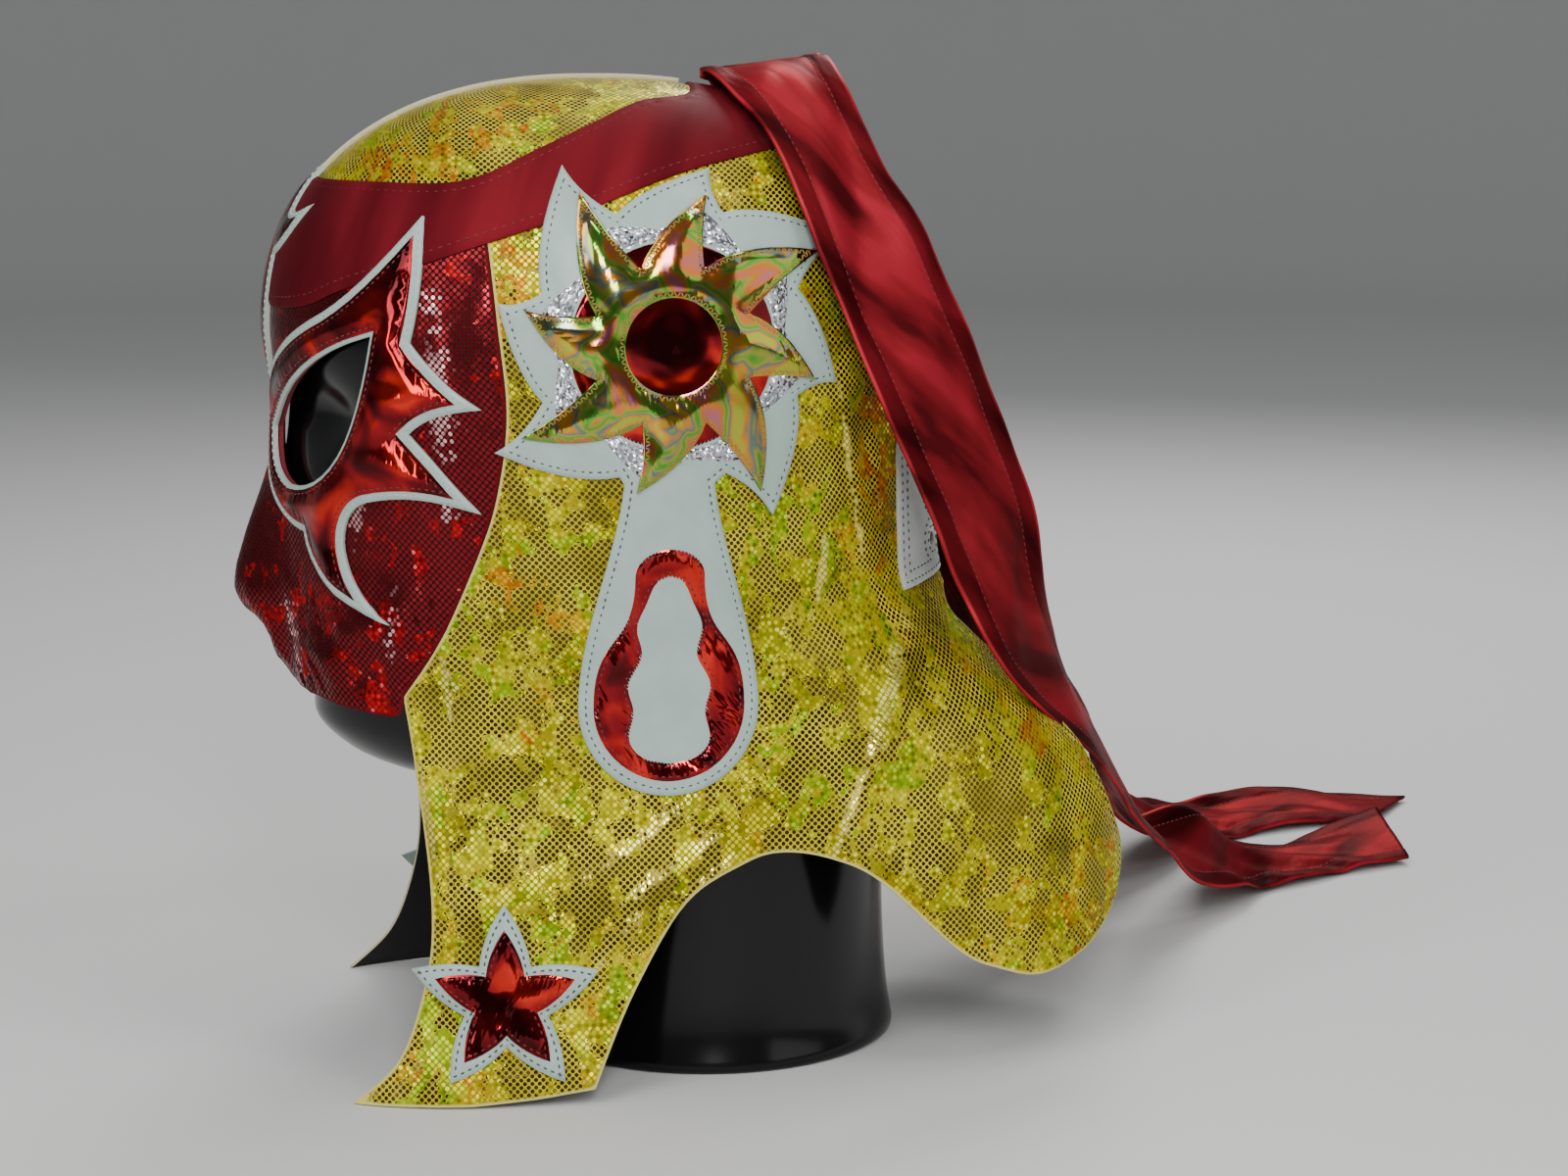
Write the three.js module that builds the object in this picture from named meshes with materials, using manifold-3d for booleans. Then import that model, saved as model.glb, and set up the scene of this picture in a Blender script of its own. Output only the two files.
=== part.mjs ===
import * as THREE from 'three';
import { mergeVertices } from 'three/addons/utils/BufferGeometryUtils.js';
import Module from 'manifold-3d';

const wasm = await Module();
wasm.setup();

// A lucha libre mask on its display head, in millimetres. The face looks along -Y, +Z is up, the
// wearer's left is +X, and the origin is the middle of the stand's flat underside.

// Driving sizes of the hood
const CROWN_HEIGHT = 302;
const WIDEST_HEIGHT = 225;
const DOME_POWER = 2.3;
const HEM_HEIGHT = 0.5;
const CLOTH = 2;
const GAP = 0.3;
const ROUND_COLUMNS = 20;
const FRONT_CROWDING = 0.03;
const HOOD_ROWS = [HEM_HEIGHT, 30, 60, 86, 108, 126, 142, 160, 182, 204];
const DOME_ROWS = 5;

// Layers sewn on the hood, as distances out from its surface
const BAND_LAYER = [0.3, 1.0];
const VINYL_LAYER = [0.3, 2.0];
const FOIL_LAYER = [2.3, 2.9];
const TOP_FOIL_LAYER = [3.2, 3.8];
const VINYL_OVER_BAND = 1.3;

// Heights and values of the hood's sections: front and back on the midline, half width at the middle
const HOOD = {
  crown: CROWN_HEIGHT,
  front: [[0, -138], [30, -124], [60, -120], [95, -122], [120, -130], [135, -132.5], [160, -132],
    [185, -132.5], [205, -133.5], [225, -135]],
  back: [[0, 135], [30, 136], [60, 136], [80, 129], [100, 114], [122, 93], [145, 76], [165, 72.5],
    [185, 71.5], [205, 70], [225, 69]],
  half: [[0, 87], [30, 81], [60, 77], [90, 72.5], [120, 71], [150, 74], [180, 77], [205, 78], [225, 78]],
  middle: [[0, -20], [100, -20], [170, -25], [225, -35]],
  frontPower: [[0, 4], [60, 3.5], [100, 2.7], [150, 2.3], [225, 2.25]],
  backPower: [[0, 2.3], [100, 2.3], [125, 1.9], [145, 1.6], [185, 1.6], [225, 2.1]],
  nose: [[110, 0], [120, 2], [134, 9], [146, 16], [160, 13], [185, 4], [205, 0]],
  noseWidth: 15,
};

// The display head inside it, from the neck's foot to just under the crown
const HEAD_CLEARANCE = 3.2;
const HEAD = {
  crown: CROWN_HEIGHT - HEAD_CLEARANCE,
  front: [[0, -60], [12, -57], [60, -55], [78, -60], [86, -84], [92, -106], [100, -119], [108, -124],
    [116, -123.5], [124, -121.5], [131, -124.5], [137, -123.5], [143, -126], [152, -127.5],
    [185, -128.5], [205, -129.5], [225, -131.5]],
  back: [[0, 60], [12, 58], [60, 56], [120, 56], [145, 63], [165, 66], [185, 66.5], [205, 66.2],
    [225, 65.6]],
  half: [[0, 62], [12, 59], [60, 56], [86, 58], [100, 62], [120, 66], [150, 70.3], [180, 73.4],
    [205, 74.6], [225, 74.8]],
  middle: [[0, 0], [70, 0], [86, -6], [100, -20], [170, -25], [225, -35]],
  frontPower: [[0, 2], [80, 2.1], [120, 2.2], [150, 2.3], [225, 2.25]],
  backPower: [[0, 2], [125, 1.9], [145, 1.6], [185, 1.6], [225, 2.1]],
  nose: [[112, 0], [136, 1], [141, 9], [147, 16], [160, 12.5], [185, 3.5], [205, 0]],
  noseWidth: 11,
};
const EYE_SOCKET = { side: 33, height: 203, width: 17, tall: 11, depth: 8 };
const LIPS = { height: 131, width: 22, tall: 5.5, depth: 3 };

// Smooth value at a height, through [height, value] stations
function track(stations, at) {
  const last = stations.length - 1;
  const height = Math.min(Math.max(at, stations[0][0]), stations[last][0]);
  const slope = (i) => (stations[i + 1][1] - stations[i][1]) / (stations[i + 1][0] - stations[i][0]);
  const tangent = (i) => {
    if (i === 0) return slope(0);
    if (i === last) return slope(last - 1);
    return slope(i - 1) * slope(i) > 0 ? (slope(i - 1) + slope(i)) / 2 : 0;
  };
  let i = 0;
  while (i < last - 1 && height > stations[i + 1][0]) i += 1;
  const span = stations[i + 1][0] - stations[i][0];
  const t = (height - stations[i][0]) / span;
  return (1 + 2 * t) * (1 - t) ** 2 * stations[i][1] + t * (1 - t) ** 2 * span * tangent(i)
    + t * t * (3 - 2 * t) * stations[i + 1][1] + t * t * (t - 1) * span * tangent(i + 1);
}

// Point of a form at an angle round it, 0 at the face and PI at the back, and a height
function formPoint(form, angle, z) {
  const wall = Math.min(z, WIDEST_HEIGHT);
  const rise = Math.min(Math.max((z - WIDEST_HEIGHT) / (form.crown - WIDEST_HEIGHT), 0), 1);
  const shrink = (1 - rise ** DOME_POWER) ** (1 / DOME_POWER);
  const middle = track(form.middle, wall);
  const inFront = Math.cos(angle) > 0;
  const reach = (track(inFront ? form.front : form.back, wall) - middle) * shrink;
  const power = 2 / track(inFront ? form.frontPower : form.backPower, wall);
  const x = track(form.half, wall) * shrink * Math.sign(Math.sin(angle)) * Math.abs(Math.sin(angle)) ** power;
  const nose = inFront && z < WIDEST_HEIGHT
    ? track(form.nose, z) * Math.exp(-((x / form.noseWidth) ** 2)) : 0;
  return new THREE.Vector3(x, middle + reach * Math.abs(Math.cos(angle)) ** power - nose, z);
}

// The head's own hollows: eye sockets, and the line between the lips
function headPoint(angle, z) {
  const point = formPoint(HEAD, angle, z);
  if (Math.cos(angle) <= 0) return point;
  const socket = Math.exp(-(((Math.abs(point.x) - EYE_SOCKET.side) / EYE_SOCKET.width) ** 2)
    - ((z - EYE_SOCKET.height) / EYE_SOCKET.tall) ** 2);
  const lips = Math.exp(-((point.x / LIPS.width) ** 2) - ((z - LIPS.height) / LIPS.tall) ** 2);
  point.y += EYE_SOCKET.depth * socket - LIPS.depth * lips;
  return point;
}

// The hood's surface pushed out along its normal
function hoodPoint(angle, z, out) {
  const step = 0.02;
  const lift = 0.4;
  const across = formPoint(HOOD, angle + step, z).sub(formPoint(HOOD, angle - step, z));
  const above = Math.min(z + lift, CROWN_HEIGHT - 0.1);
  const up = formPoint(HOOD, angle, above).sub(formPoint(HOOD, angle, z - lift));
  const normal = across.cross(up).normalize();
  return formPoint(HOOD, angle, z).addScaledVector(normal, out);
}

// Row heights of the dome, closing in on the crown
function domeHeights(crown) {
  return Array.from({ length: DOME_ROWS }, (_, i) => {
    const turn = Math.PI / 2 * i / DOME_ROWS;
    return WIDEST_HEIGHT + (crown - WIDEST_HEIGHT) * Math.sin(turn) ** (2 / DOME_POWER);
  });
}

// Skin of rings closed by a pole: adds its points and triangles, and returns the index of its first ring
function addSkin(mesh, rings, pole, outward) {
  const first = mesh.points.length;
  const columns = rings[0].length;
  rings.forEach((ring) => mesh.points.push(...ring));
  const top = mesh.points.push(pole) - 1;
  const face = (a, b, c) => mesh.faces.push(outward ? [a, b, c] : [a, c, b]);
  for (let row = 0; row < rings.length; row += 1) {
    for (let column = 0; column < columns; column += 1) {
      const a = first + row * columns + column;
      const b = first + row * columns + (column + 1) % columns;
      if (row === rings.length - 1) {
        face(a, b, top);
      } else {
        face(a, b, b + columns);
        face(a, b + columns, a + columns);
      }
    }
  }
  return first;
}

// Ring of points at one height, set closer together at the front and the back
function ringAt(point, z) {
  return Array.from({ length: ROUND_COLUMNS }, (_, i) => {
    const even = 2 * Math.PI * i / ROUND_COLUMNS;
    return point(even - 2 * Math.PI * FRONT_CROWDING * Math.sin(2 * even) / 2, z);
  });
}

function toGeometry(mesh) {
  const geometry = new THREE.BufferGeometry();
  const positions = mesh.points.flatMap((point) => point.toArray());
  geometry.setAttribute('position', new THREE.Float32BufferAttribute(positions, 3));
  geometry.setIndex(mesh.faces.flat());
  return geometry;
}

// manifold-3d solids from and to three.js geometry
function toSolid(geometry) {
  geometry.deleteAttribute('normal');
  geometry.deleteAttribute('uv');
  const merged = mergeVertices(geometry, 1e-4);
  const vertProperties = new Float32Array(merged.attributes.position.array);
  const triVerts = new Uint32Array(merged.index.array);
  return new wasm.Manifold(new wasm.Mesh({ numProp: 3, vertProperties, triVerts }));
}

function fromSolid(solid) {
  const { vertProperties, triVerts } = solid.getMesh();
  const geometry = new THREE.BufferGeometry();
  geometry.setAttribute('position', new THREE.BufferAttribute(vertProperties, 3));
  geometry.setIndex(new THREE.BufferAttribute(triVerts, 1));
  return geometry;
}

// The other side's copy of a piece
function mirrored(geometry) {
  const copy = geometry.clone();
  const { position } = copy.attributes;
  for (let i = 0; i < position.count; i += 1) position.setX(i, -position.getX(i));
  const index = copy.index.array;
  for (let i = 0; i < index.length; i += 3) [index[i], index[i + 1]] = [index[i + 1], index[i]];
  return copy;
}

// Layer of the hood between two distances from its surface
function hoodLayer(inner, outer) {
  const heights = [...HOOD_ROWS, ...domeHeights(CROWN_HEIGHT)];
  const skin = (out) => heights.map((z) => ringAt((angle, at) => hoodPoint(angle, at, out), z));
  const pole = (out) => new THREE.Vector3(0, HOOD.middle.at(-1)[1], CROWN_HEIGHT + out);
  const mesh = { points: [], faces: [] };
  const outerRing = addSkin(mesh, skin(outer), pole(outer), true);
  const innerRing = addSkin(mesh, skin(inner), pole(inner), false);
  for (let i = 0; i < ROUND_COLUMNS; i += 1) {
    const next = (i + 1) % ROUND_COLUMNS;
    mesh.faces.push([outerRing + next, outerRing + i, innerRing + i]);
    mesh.faces.push([outerRing + next, innerRing + i, innerRing + next]);
  }
  return toSolid(toGeometry(mesh));
}

// Cutting prisms: an outline drawn on two axes and run along the third, or along a slanted direction
const FAR = 220;
function prism(outline, uAxis, vAxis, from, to) {
  const shape = new THREE.Shape(outline);
  const geometry = new THREE.ExtrudeGeometry(shape, { depth: to - from, bevelEnabled: false });
  const along = uAxis.clone().cross(vAxis);
  geometry.translate(0, 0, from);
  geometry.applyMatrix4(new THREE.Matrix4().makeBasis(uAxis, vAxis, along));
  return toSolid(geometry);
}
const X = new THREE.Vector3(1, 0, 0);
const Y = new THREE.Vector3(0, 1, 0);
const Z = new THREE.Vector3(0, 0, 1);
const sidePrism = (outline, from = -FAR, to = FAR) => prism(outline, Y, Z, from, to);
const frontPrism = (outline) => prism(outline, X, Z, 0, FAR);
const backPrism = (outline) => {
  const turned = outline.map((point) => new THREE.Vector2(-point.x, point.y));
  return prism(turned, X.clone().negate(), Z, 0, FAR);
};

// The cheek faces half forward and half sideways
const CHEEK = Math.PI / 4;
const CHEEK_ACROSS = new THREE.Vector3(Math.cos(CHEEK), Math.sin(CHEEK), 0);
const cheekPrism = (outline) => prism(outline, CHEEK_ACROSS, Z, 0, FAR);

// Outline moved outward by a distance, or inward by a negative one, with what crosses itself left out
function moved(outline, distance) {
  const count = outline.length;
  const turnSign = THREE.ShapeUtils.isClockWise(outline) ? -1 : 1;
  const corner = (i) => outline[(i + count) % count];
  const shifted = outline.flatMap((point, i) => {
    const before = point.clone().sub(corner(i - 1)).normalize();
    const after = corner(i + 1).clone().sub(point).normalize();
    const outBefore = new THREE.Vector2(before.y, -before.x).multiplyScalar(turnSign * distance);
    const outAfter = new THREE.Vector2(after.y, -after.x).multiplyScalar(turnSign * distance);
    const share = 1 + outBefore.dot(outAfter) / distance ** 2;
    if (share < 0.6) return [point.clone().add(outBefore), point.clone().add(outAfter)];
    return [point.clone().add(outBefore.add(outAfter).divideScalar(share))];
  });
  const reach = (point) => Math.min(...outline.map((start, i) => {
    const edge = corner(i + 1).clone().sub(start);
    const t = THREE.MathUtils.clamp(point.clone().sub(start).dot(edge) / edge.lengthSq(), 0, 1);
    return start.clone().addScaledVector(edge, t).distanceTo(point);
  }));
  return shifted.filter((point) => reach(point) > Math.abs(distance) * 0.97);
}

function pathPoints(draw, divisions = 4) {
  const path = new THREE.Path();
  draw(path);
  const points = path.getPoints(divisions);
  if (points[0].distanceTo(points.at(-1)) < 1e-3) points.pop();
  return points;
}
const vectors = (pairs) => pairs.map(([a, b]) => new THREE.Vector2(a, b));

// Side view lines of the hood, as Y and Z
const SEAM = [[-72, 264], [-69, 233], [-66.6, 207], [-69.2, 184], [-74.5, 166], [-86, 139], [-97.8, 120]];
const FLAP_FRONT = [[-94, 93], [-90.4, 58], [-93, 36], [-101, 14], [-115, HEM_HEIGHT]];
const ARCH = [[-43, 5], [-30.7, 33], [-14.4, 59], [3.4, 70], [15.2, 72.8], [30, 70], [45.5, 62],
  [70, 39], [83.3, 31.9], [97.1, 27.9]];
const LOBE = [[111.4, 30.9], [119.4, 35.6], [128, 46], [131, 60], [125.3, 77], [116.7, 93.2], [104, 107.6],
  [88, 124.1], [76, 138], [78, 150]];
const BAND_TOP = [[-160, 271], [-112, 272.5], [-78, 273.3], [-55, 282.5], [-40, 289], [-24, 295.5],
  [-7, 298]];
const BAND_FOOT = [[-160, 230], [-127.4, 235], [-112.7, 241.6], [-90, 249.5], [-73.1, 255.2], [-42, 265.2],
  [-15, 275], [9.8, 280.7], [36, 285], [80, 290]];
const FACE_TOP = [[-160, 251], [-113, 257], [-90, 261]];
const FACE_EDGE = [[-99, 114.5], [-102.3, 113.5], [-115.3, 115], [-130, 117.5], [-170, 122]];

function hoodOutline() {
  return pathPoints((path) => {
    path.moveTo(-170, FACE_TOP[0][1]);
    FACE_TOP.slice(1).forEach(([y, z]) => path.lineTo(y, z));
    path.lineTo(...SEAM[0]);
    path.splineThru(vectors(SEAM.slice(1)));
    path.splineThru(vectors(FLAP_FRONT));
    path.lineTo(...ARCH[0]);
    path.splineThru(vectors([...ARCH.slice(1), ...LOBE]));
    path.lineTo(150, 200);
    path.lineTo(150, 330);
    path.lineTo(-170, 330);
  }, 2);
}

function faceOutline() {
  return pathPoints((path) => {
    path.moveTo(-170, FACE_TOP[0][1]);
    FACE_TOP.slice(1).forEach(([y, z]) => path.lineTo(y, z));
    path.lineTo(...SEAM[0]);
    path.splineThru(vectors(SEAM.slice(1)));
    path.splineThru(vectors(FACE_EDGE));
  }, 2);
}

function bandOutline() {
  return pathPoints((path) => {
    path.moveTo(...BAND_FOOT[0]);
    path.splineThru(vectors(BAND_FOOT.slice(1)));
    path.lineTo(80, 330);
    path.lineTo(0, 330);
    path.lineTo(...BAND_TOP.at(-1));
    path.splineThru(vectors(BAND_TOP.slice(0, -1).reverse()));
  }, 2);
}

// Slit down the back between the two hood panels, as X and Z
const SLIT = { half: 4, top: 266, foot: -10 };
function slitOutline() {
  return pathPoints((path) => {
    path.moveTo(SLIT.half, SLIT.foot);
    path.lineTo(SLIT.half, SLIT.top - SLIT.half);
    path.absarc(0, SLIT.top - SLIT.half, SLIT.half, 0, Math.PI, false);
    path.lineTo(-SLIT.half, SLIT.foot);
  });
}

// Lacing strip beside the slit
const LACING = { inner: 5.2, outer: 33, foot: 148, top: 262, slant: 3 };
function lacingOutline() {
  return vectors([[LACING.inner, LACING.foot], [LACING.outer, LACING.foot - LACING.slant],
    [LACING.outer - 2, LACING.top - 6], [LACING.outer - 8, LACING.top], [LACING.inner, LACING.top]]);
}

// Eye opening and its trim on the cheek plane: distance across the cheek, and height
const EYE_START = [-85, 197];
const EYE_CURVES = [
  [[-86, 184], [-74, 181]],
  [[-52, 180], [-41, 202]],
  [[-35, 214], [-32, 228]],
  [[-62, 220], [-85, 197]],
];
function curveOutline(start, curves, divisions) {
  return pathPoints((path) => {
    path.moveTo(...start);
    curves.forEach(([control, end]) => path.quadraticCurveTo(...control, ...end));
  }, divisions);
}
const eyeOutline = () => curveOutline(EYE_START, EYE_CURVES, 2);

// The trim runs round the eye and ends in three flames towards the ear and one drop on the cheek
const TRIM_START = [-91, 201];
const TRIM_CURVES = [
  [[-93, 184], [-84, 175]],
  [[-77, 168], [-66, 167]],
  [[-62, 150], [-31, 142]],
  [[-47, 152], [-47, 166]],
  [[-46, 176], [-36, 179]],
  [[-20, 183], [-2, 177]],
  [[-12, 190], [-21, 200]],
  [[-14, 207], [0, 208]],
  [[-12, 217], [-19, 227]],
  [[-14, 245], [-20, 264]],
  [[-33, 241], [-56, 232]],
  [[-76, 223], [-88, 213]],
  [[-91, 208], [-91, 201]],
];
const TRIM_BORDER = 3;
const trimOutline = () => curveOutline(TRIM_START, TRIM_CURVES, 2);

// Forehead emblem, a three-flamed spearhead, as X and Z
const EMBLEM_RIGHT = [
  [[5, 221], [10, 236]],
  [[12, 243], [8, 249]],
  [[20, 250], [27, 265]],
  [[17, 260], [9, 263]],
  [[5, 267], [0, 276]],
];
const EMBLEM_FOOT = [0, 209];
const EMBLEM_BORDER = 2.6;
function emblemOutline() {
  return pathPoints((path) => {
    path.moveTo(...EMBLEM_FOOT);
    EMBLEM_RIGHT.forEach(([control, end]) => path.quadraticCurveTo(...control, ...end));
    const ends = [EMBLEM_FOOT, ...EMBLEM_RIGHT.map(([, end]) => end)];
    for (let i = EMBLEM_RIGHT.length - 1; i >= 0; i -= 1) {
      const [control] = EMBLEM_RIGHT[i];
      path.quadraticCurveTo(-control[0], control[1], -ends[i][0], ends[i][1]);
    }
  }, 2);
}

// Star or flame-rayed sun round a centre: tips lean round by a share of a ray's angle
function rayOutline({ centre, rays, tips, valley, lean, bow, start, divisions }) {
  const at = (radius, turn) => [centre[0] + radius * Math.sin(turn), centre[1] + radius * Math.cos(turn)];
  const pitch = 2 * Math.PI / rays;
  return pathPoints((path) => {
    path.moveTo(...at(valley, start));
    for (let i = 0; i < rays; i += 1) {
      const foot = start + i * pitch;
      const tip = tips[i % tips.length];
      const half = (valley + tip) / 2;
      const rise = at(half, foot + pitch * (0.25 + lean / 2 - bow));
      const fall = at(half, foot + pitch * (0.75 + lean / 2 - bow));
      path.quadraticCurveTo(...rise, ...at(tip, foot + pitch * (0.5 + lean)));
      path.quadraticCurveTo(...fall, ...at(valley, foot + pitch));
    }
  }, divisions);
}

const SUN = { centre: [-18, 226], rays: 8, start: Math.PI / 8, lean: 0.32, bow: 0.1, divisions: 2 };
const SUN_BASE = { ...SUN, tips: [60, 52], valley: 41 };
const SUN_GOLD = { ...SUN, tips: [51, 44], valley: 24 };
const SUN_SILVER = { ...SUN, start: -0.12, lean: 0, bow: 0, tips: [39], valley: 33.5, divisions: 1 };
const SUN_SIDES = 14;
const SUN_RED_RADIUS = 30;
const SUN_HOLE_RADIUS = 14;
const SILVER_HOLE_RADIUS = 30.4;
const STAR = { centre: [-69, 31], rays: 5, start: -Math.PI / 5, lean: 0, bow: 0, divisions: 1 };
const STAR_BASE = { ...STAR, tips: [29], valley: 13 };
const STAR_FOIL = { ...STAR, tips: [21.5], valley: 9.6 };

function circleOutline(centre, radius, sides) {
  return Array.from({ length: sides }, (_, i) => {
    const turn = 2 * Math.PI * i / sides;
    return new THREE.Vector2(centre[0] + radius * Math.cos(turn), centre[1] + radius * Math.sin(turn));
  });
}

// Plume hanging under the sun: a drop with a narrow neck
const PLUME = { centre: [-19, 118], radius: 27, neck: 13, top: 192, foilTop: 166, border: 4.5 };
function plumeOutline(inset, top) {
  const { centre: [y, z], radius, neck } = PLUME;
  const r = radius - inset;
  const n = neck - inset * 0.6;
  return pathPoints((path) => {
    path.moveTo(y + n, top);
    path.bezierCurveTo(y + n, top - 22, y + r, z + 24, y + r, z);
    path.absarc(y, z, r, 0, Math.PI, true);
    path.bezierCurveTo(y - r, z + 24, y - n, top - 22, y - n, top);
  }, 3);
}

// Scalloped window in the plume's red border
const WINDOW = { foot: 101, top: 158, wide: 13.5, narrow: 6.5, scallops: 3, wave: 1.5, rows: 9 };
function windowOutline() {
  const right = [];
  for (let i = 0; i <= WINDOW.rows; i += 1) {
    const t = i / WINDOW.rows;
    const taper = Math.sqrt(1 - Math.abs(2 * t - 1) ** 6);
    const width = THREE.MathUtils.lerp(WINDOW.wide, WINDOW.narrow, t) * taper;
    const wave = WINDOW.wave * Math.sin(2 * Math.PI * WINDOW.scallops * t) * Math.sin(Math.PI * t);
    right.push([width + wave, THREE.MathUtils.lerp(WINDOW.foot, WINDOW.top, t)]);
  }
  const left = right.slice(1, -1).reverse().map(([w, z]) => [-w, z]);
  return vectors([...right, ...left].map(([w, z]) => [PLUME.centre[0] + w, z]));
}

// Satin tails, from the seam on the crown to the loose end cut on a slant. Each station gives the middle
// of the ribbon, then the heading and the rise in degrees of the line across it, and its length there
const RIBBON = { width: 38, thickness: 1, rows: 26, columns: 2 };
const LEFT_TAIL = [
  [2, 16, 296.5, 90, -19, 36],
  [4, 18, 306, 90, 6],
  [25, 22, 299, 94, 0, 36],
  [48, 32, 278, 107, -2, 34],
  [59, 42.5, 253.5, 112, 8],
  [57, 57, 222, 117, 25],
  [46, 72, 191.5, 116, 30],
  [33, 86, 157, 119, 31],
  [26, 97.5, 132.5, 141, 39],
  [-1.5, 121, 104, 187, 40],
  [-36.5, 137, 76, 199, 38],
  [-58, 147, 56, 207, 38],
  [-79, 159, 40.5, 217, 30],
  [-102.5, 176, 24, 219, 33],
  [-127, 199, 18, 217, 40],
  [-147, 213, 9, 219, 19],
  [-162, 235, 3.5, 207, 5],
  [-176, 260, 4, 194, 7],
  [-188, 288, 7.5, 181, 14, 42],
];
const RIGHT_TAIL = [
  [-2, 16, 296.5, 270, 19, 36],
  [-4, 18, 306, 270, -6],
  [-25, 22, 299, 266, 0, 36],
  [-48, 32, 278, 253, 2, 34],
  [-57.5, 45, 250.5, 249, 2],
  [-53.5, 54, 219.5, 240, -16],
  [-43.5, 58, 186.5, 231, -22],
  [-36, 66.5, 152.5, 221, -19],
  [-40.5, 84, 121.5, 220, -7],
  [-54, 99.5, 98, 226, 6],
  [-73, 111, 79, 231, 19],
  [-108, 132.5, 63.5, 226, 27],
  [-139.5, 151.5, 44.5, 216, 34],
  [-168.5, 172.5, 27, 221.5, 29],
  [-206, 201, 12, 225, 20],
  [-228, 222, 6, 210, 10],
  [-243, 248, 4, 188, 6],
  [-251, 276, 2.5, 165, 2, 42],
  [-252, 307, 2.5, 147, -2, 47],
];

function ribbon(stations) {
  const edges = [-0.5, 0.5].map((share) => new THREE.CatmullRomCurve3(
    stations.map(([x, y, z, heading, rise, width = RIBBON.width]) => {
      const turn = THREE.MathUtils.degToRad(90 - rise);
      const around = THREE.MathUtils.degToRad(90 - heading);
      const across = new THREE.Vector3().setFromSphericalCoords(width * share, turn, around);
      return new THREE.Vector3(x + across.x, y + across.z, z + across.y);
    }), false, 'centripetal'));
  const mid = (row, column) => edges[0].getPoint(row).lerp(edges[1].getPoint(row), column);
  const small = 1e-3;
  const clamp = (value) => Math.min(Math.max(value, 0), 1);
  const placed = (row, column, out) => {
    const along = mid(clamp(row + small), column).sub(mid(clamp(row - small), column));
    const across = mid(row, 1).sub(mid(row, 0));
    return mid(row, column).addScaledVector(across.cross(along).normalize(), out);
  };
  const mesh = { points: [], faces: [] };
  const { rows, columns } = RIBBON;
  const quad = (a, b, c, d) => mesh.faces.push([a, b, c], [a, c, d]);
  const at = (row, column, side) => (row * (columns + 1) + column) * 2 + side;
  for (let row = 0; row <= rows; row += 1) {
    for (let column = 0; column <= columns; column += 1) {
      [0.5, -0.5].forEach((share) => {
        mesh.points.push(placed(row / rows, column / columns, RIBBON.thickness * share));
      });
    }
  }
  for (let row = 0; row < rows; row += 1) {
    for (let column = 0; column < columns; column += 1) {
      const [r, c] = [row + 1, column + 1];
      quad(at(row, column, 0), at(row, c, 0), at(r, c, 0), at(r, column, 0));
      quad(at(row, column, 1), at(r, column, 1), at(r, c, 1), at(row, c, 1));
    }
    quad(at(row, 0, 0), at(row + 1, 0, 0), at(row + 1, 0, 1), at(row, 0, 1));
    quad(at(row, columns, 1), at(row + 1, columns, 1), at(row + 1, columns, 0), at(row, columns, 0));
  }
  for (let column = 0; column < columns; column += 1) {
    quad(at(0, column + 1, 0), at(0, column, 0), at(0, column, 1), at(0, column + 1, 1));
    quad(at(rows, column, 0), at(rows, column + 1, 0), at(rows, column + 1, 1), at(rows, column, 1));
  }
  return toGeometry(mesh);
}

// The display head: one body from the flat foot of the neck to the top of the skull
const HEAD_ROWS = [0, 12, 74, 86, 94, 106, 117, 125, 131, 137, 147, 162, 183, 193, 204, 214];
function displayHead() {
  const rings = [...HEAD_ROWS, ...domeHeights(HEAD.crown)].map((z) => ringAt(headPoint, z));
  const mesh = { points: [], faces: [] };
  addSkin(mesh, rings, new THREE.Vector3(0, HEAD.middle.at(-1)[1], HEAD.crown), true);
  const foot = mesh.points.push(new THREE.Vector3(0, 0, 0)) - 1;
  for (let i = 0; i < ROUND_COLUMNS; i += 1) mesh.faces.push([(i + 1) % ROUND_COLUMNS, i, foot]);
  return toGeometry(mesh);
}

// Pieces of the mask
const cloth = hoodLayer(-CLOTH, 0);
const bandLayer = hoodLayer(...BAND_LAYER);
const foilLayer = hoodLayer(...FOIL_LAYER);
const topFoilLayer = hoodLayer(...TOP_FOIL_LAYER);
const bandClearance = hoodLayer(-1, VINYL_OVER_BAND).intersect(sidePrism(moved(bandOutline(), GAP)));
const vinylLayer = hoodLayer(...VINYL_LAYER).subtract(bandClearance);
const LEFT_HALF = sidePrism(vectors([[-FAR, -10], [FAR, -10], [FAR, 340], [-FAR, 340]]), GAP / 2, FAR);
const LEFT_SIDE = 12;

function hoodPanel() {
  return fromSolid(cloth.intersect(sidePrism(hoodOutline()))
    .subtract(sidePrism(moved(faceOutline(), GAP)))
    .subtract(backPrism(slitOutline()))
    .intersect(LEFT_HALF));
}

function facePanel() {
  const eye = cheekPrism(moved(eyeOutline(), 0.8));
  const otherEye = toSolid(mirrored(fromSolid(eye)));
  return fromSolid(cloth.intersect(sidePrism(faceOutline())).subtract(eye).subtract(otherEye));
}

function eyeTrim(layer, outline, eyeGrowth) {
  return fromSolid(layer.intersect(cheekPrism(outline)).subtract(cheekPrism(moved(eyeOutline(), eyeGrowth))));
}

const side = (layer, outline) => layer.intersect(sidePrism(outline, LEFT_SIDE, FAR));
const sunBase = side(vinylLayer, rayOutline(SUN_BASE)).add(side(vinylLayer, plumeOutline(0, PLUME.top)));
const plume = side(foilLayer, plumeOutline(PLUME.border, PLUME.foilTop));

const forehead = (layer, outline) => fromSolid(layer.intersect(frontPrism(outline)));

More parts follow.
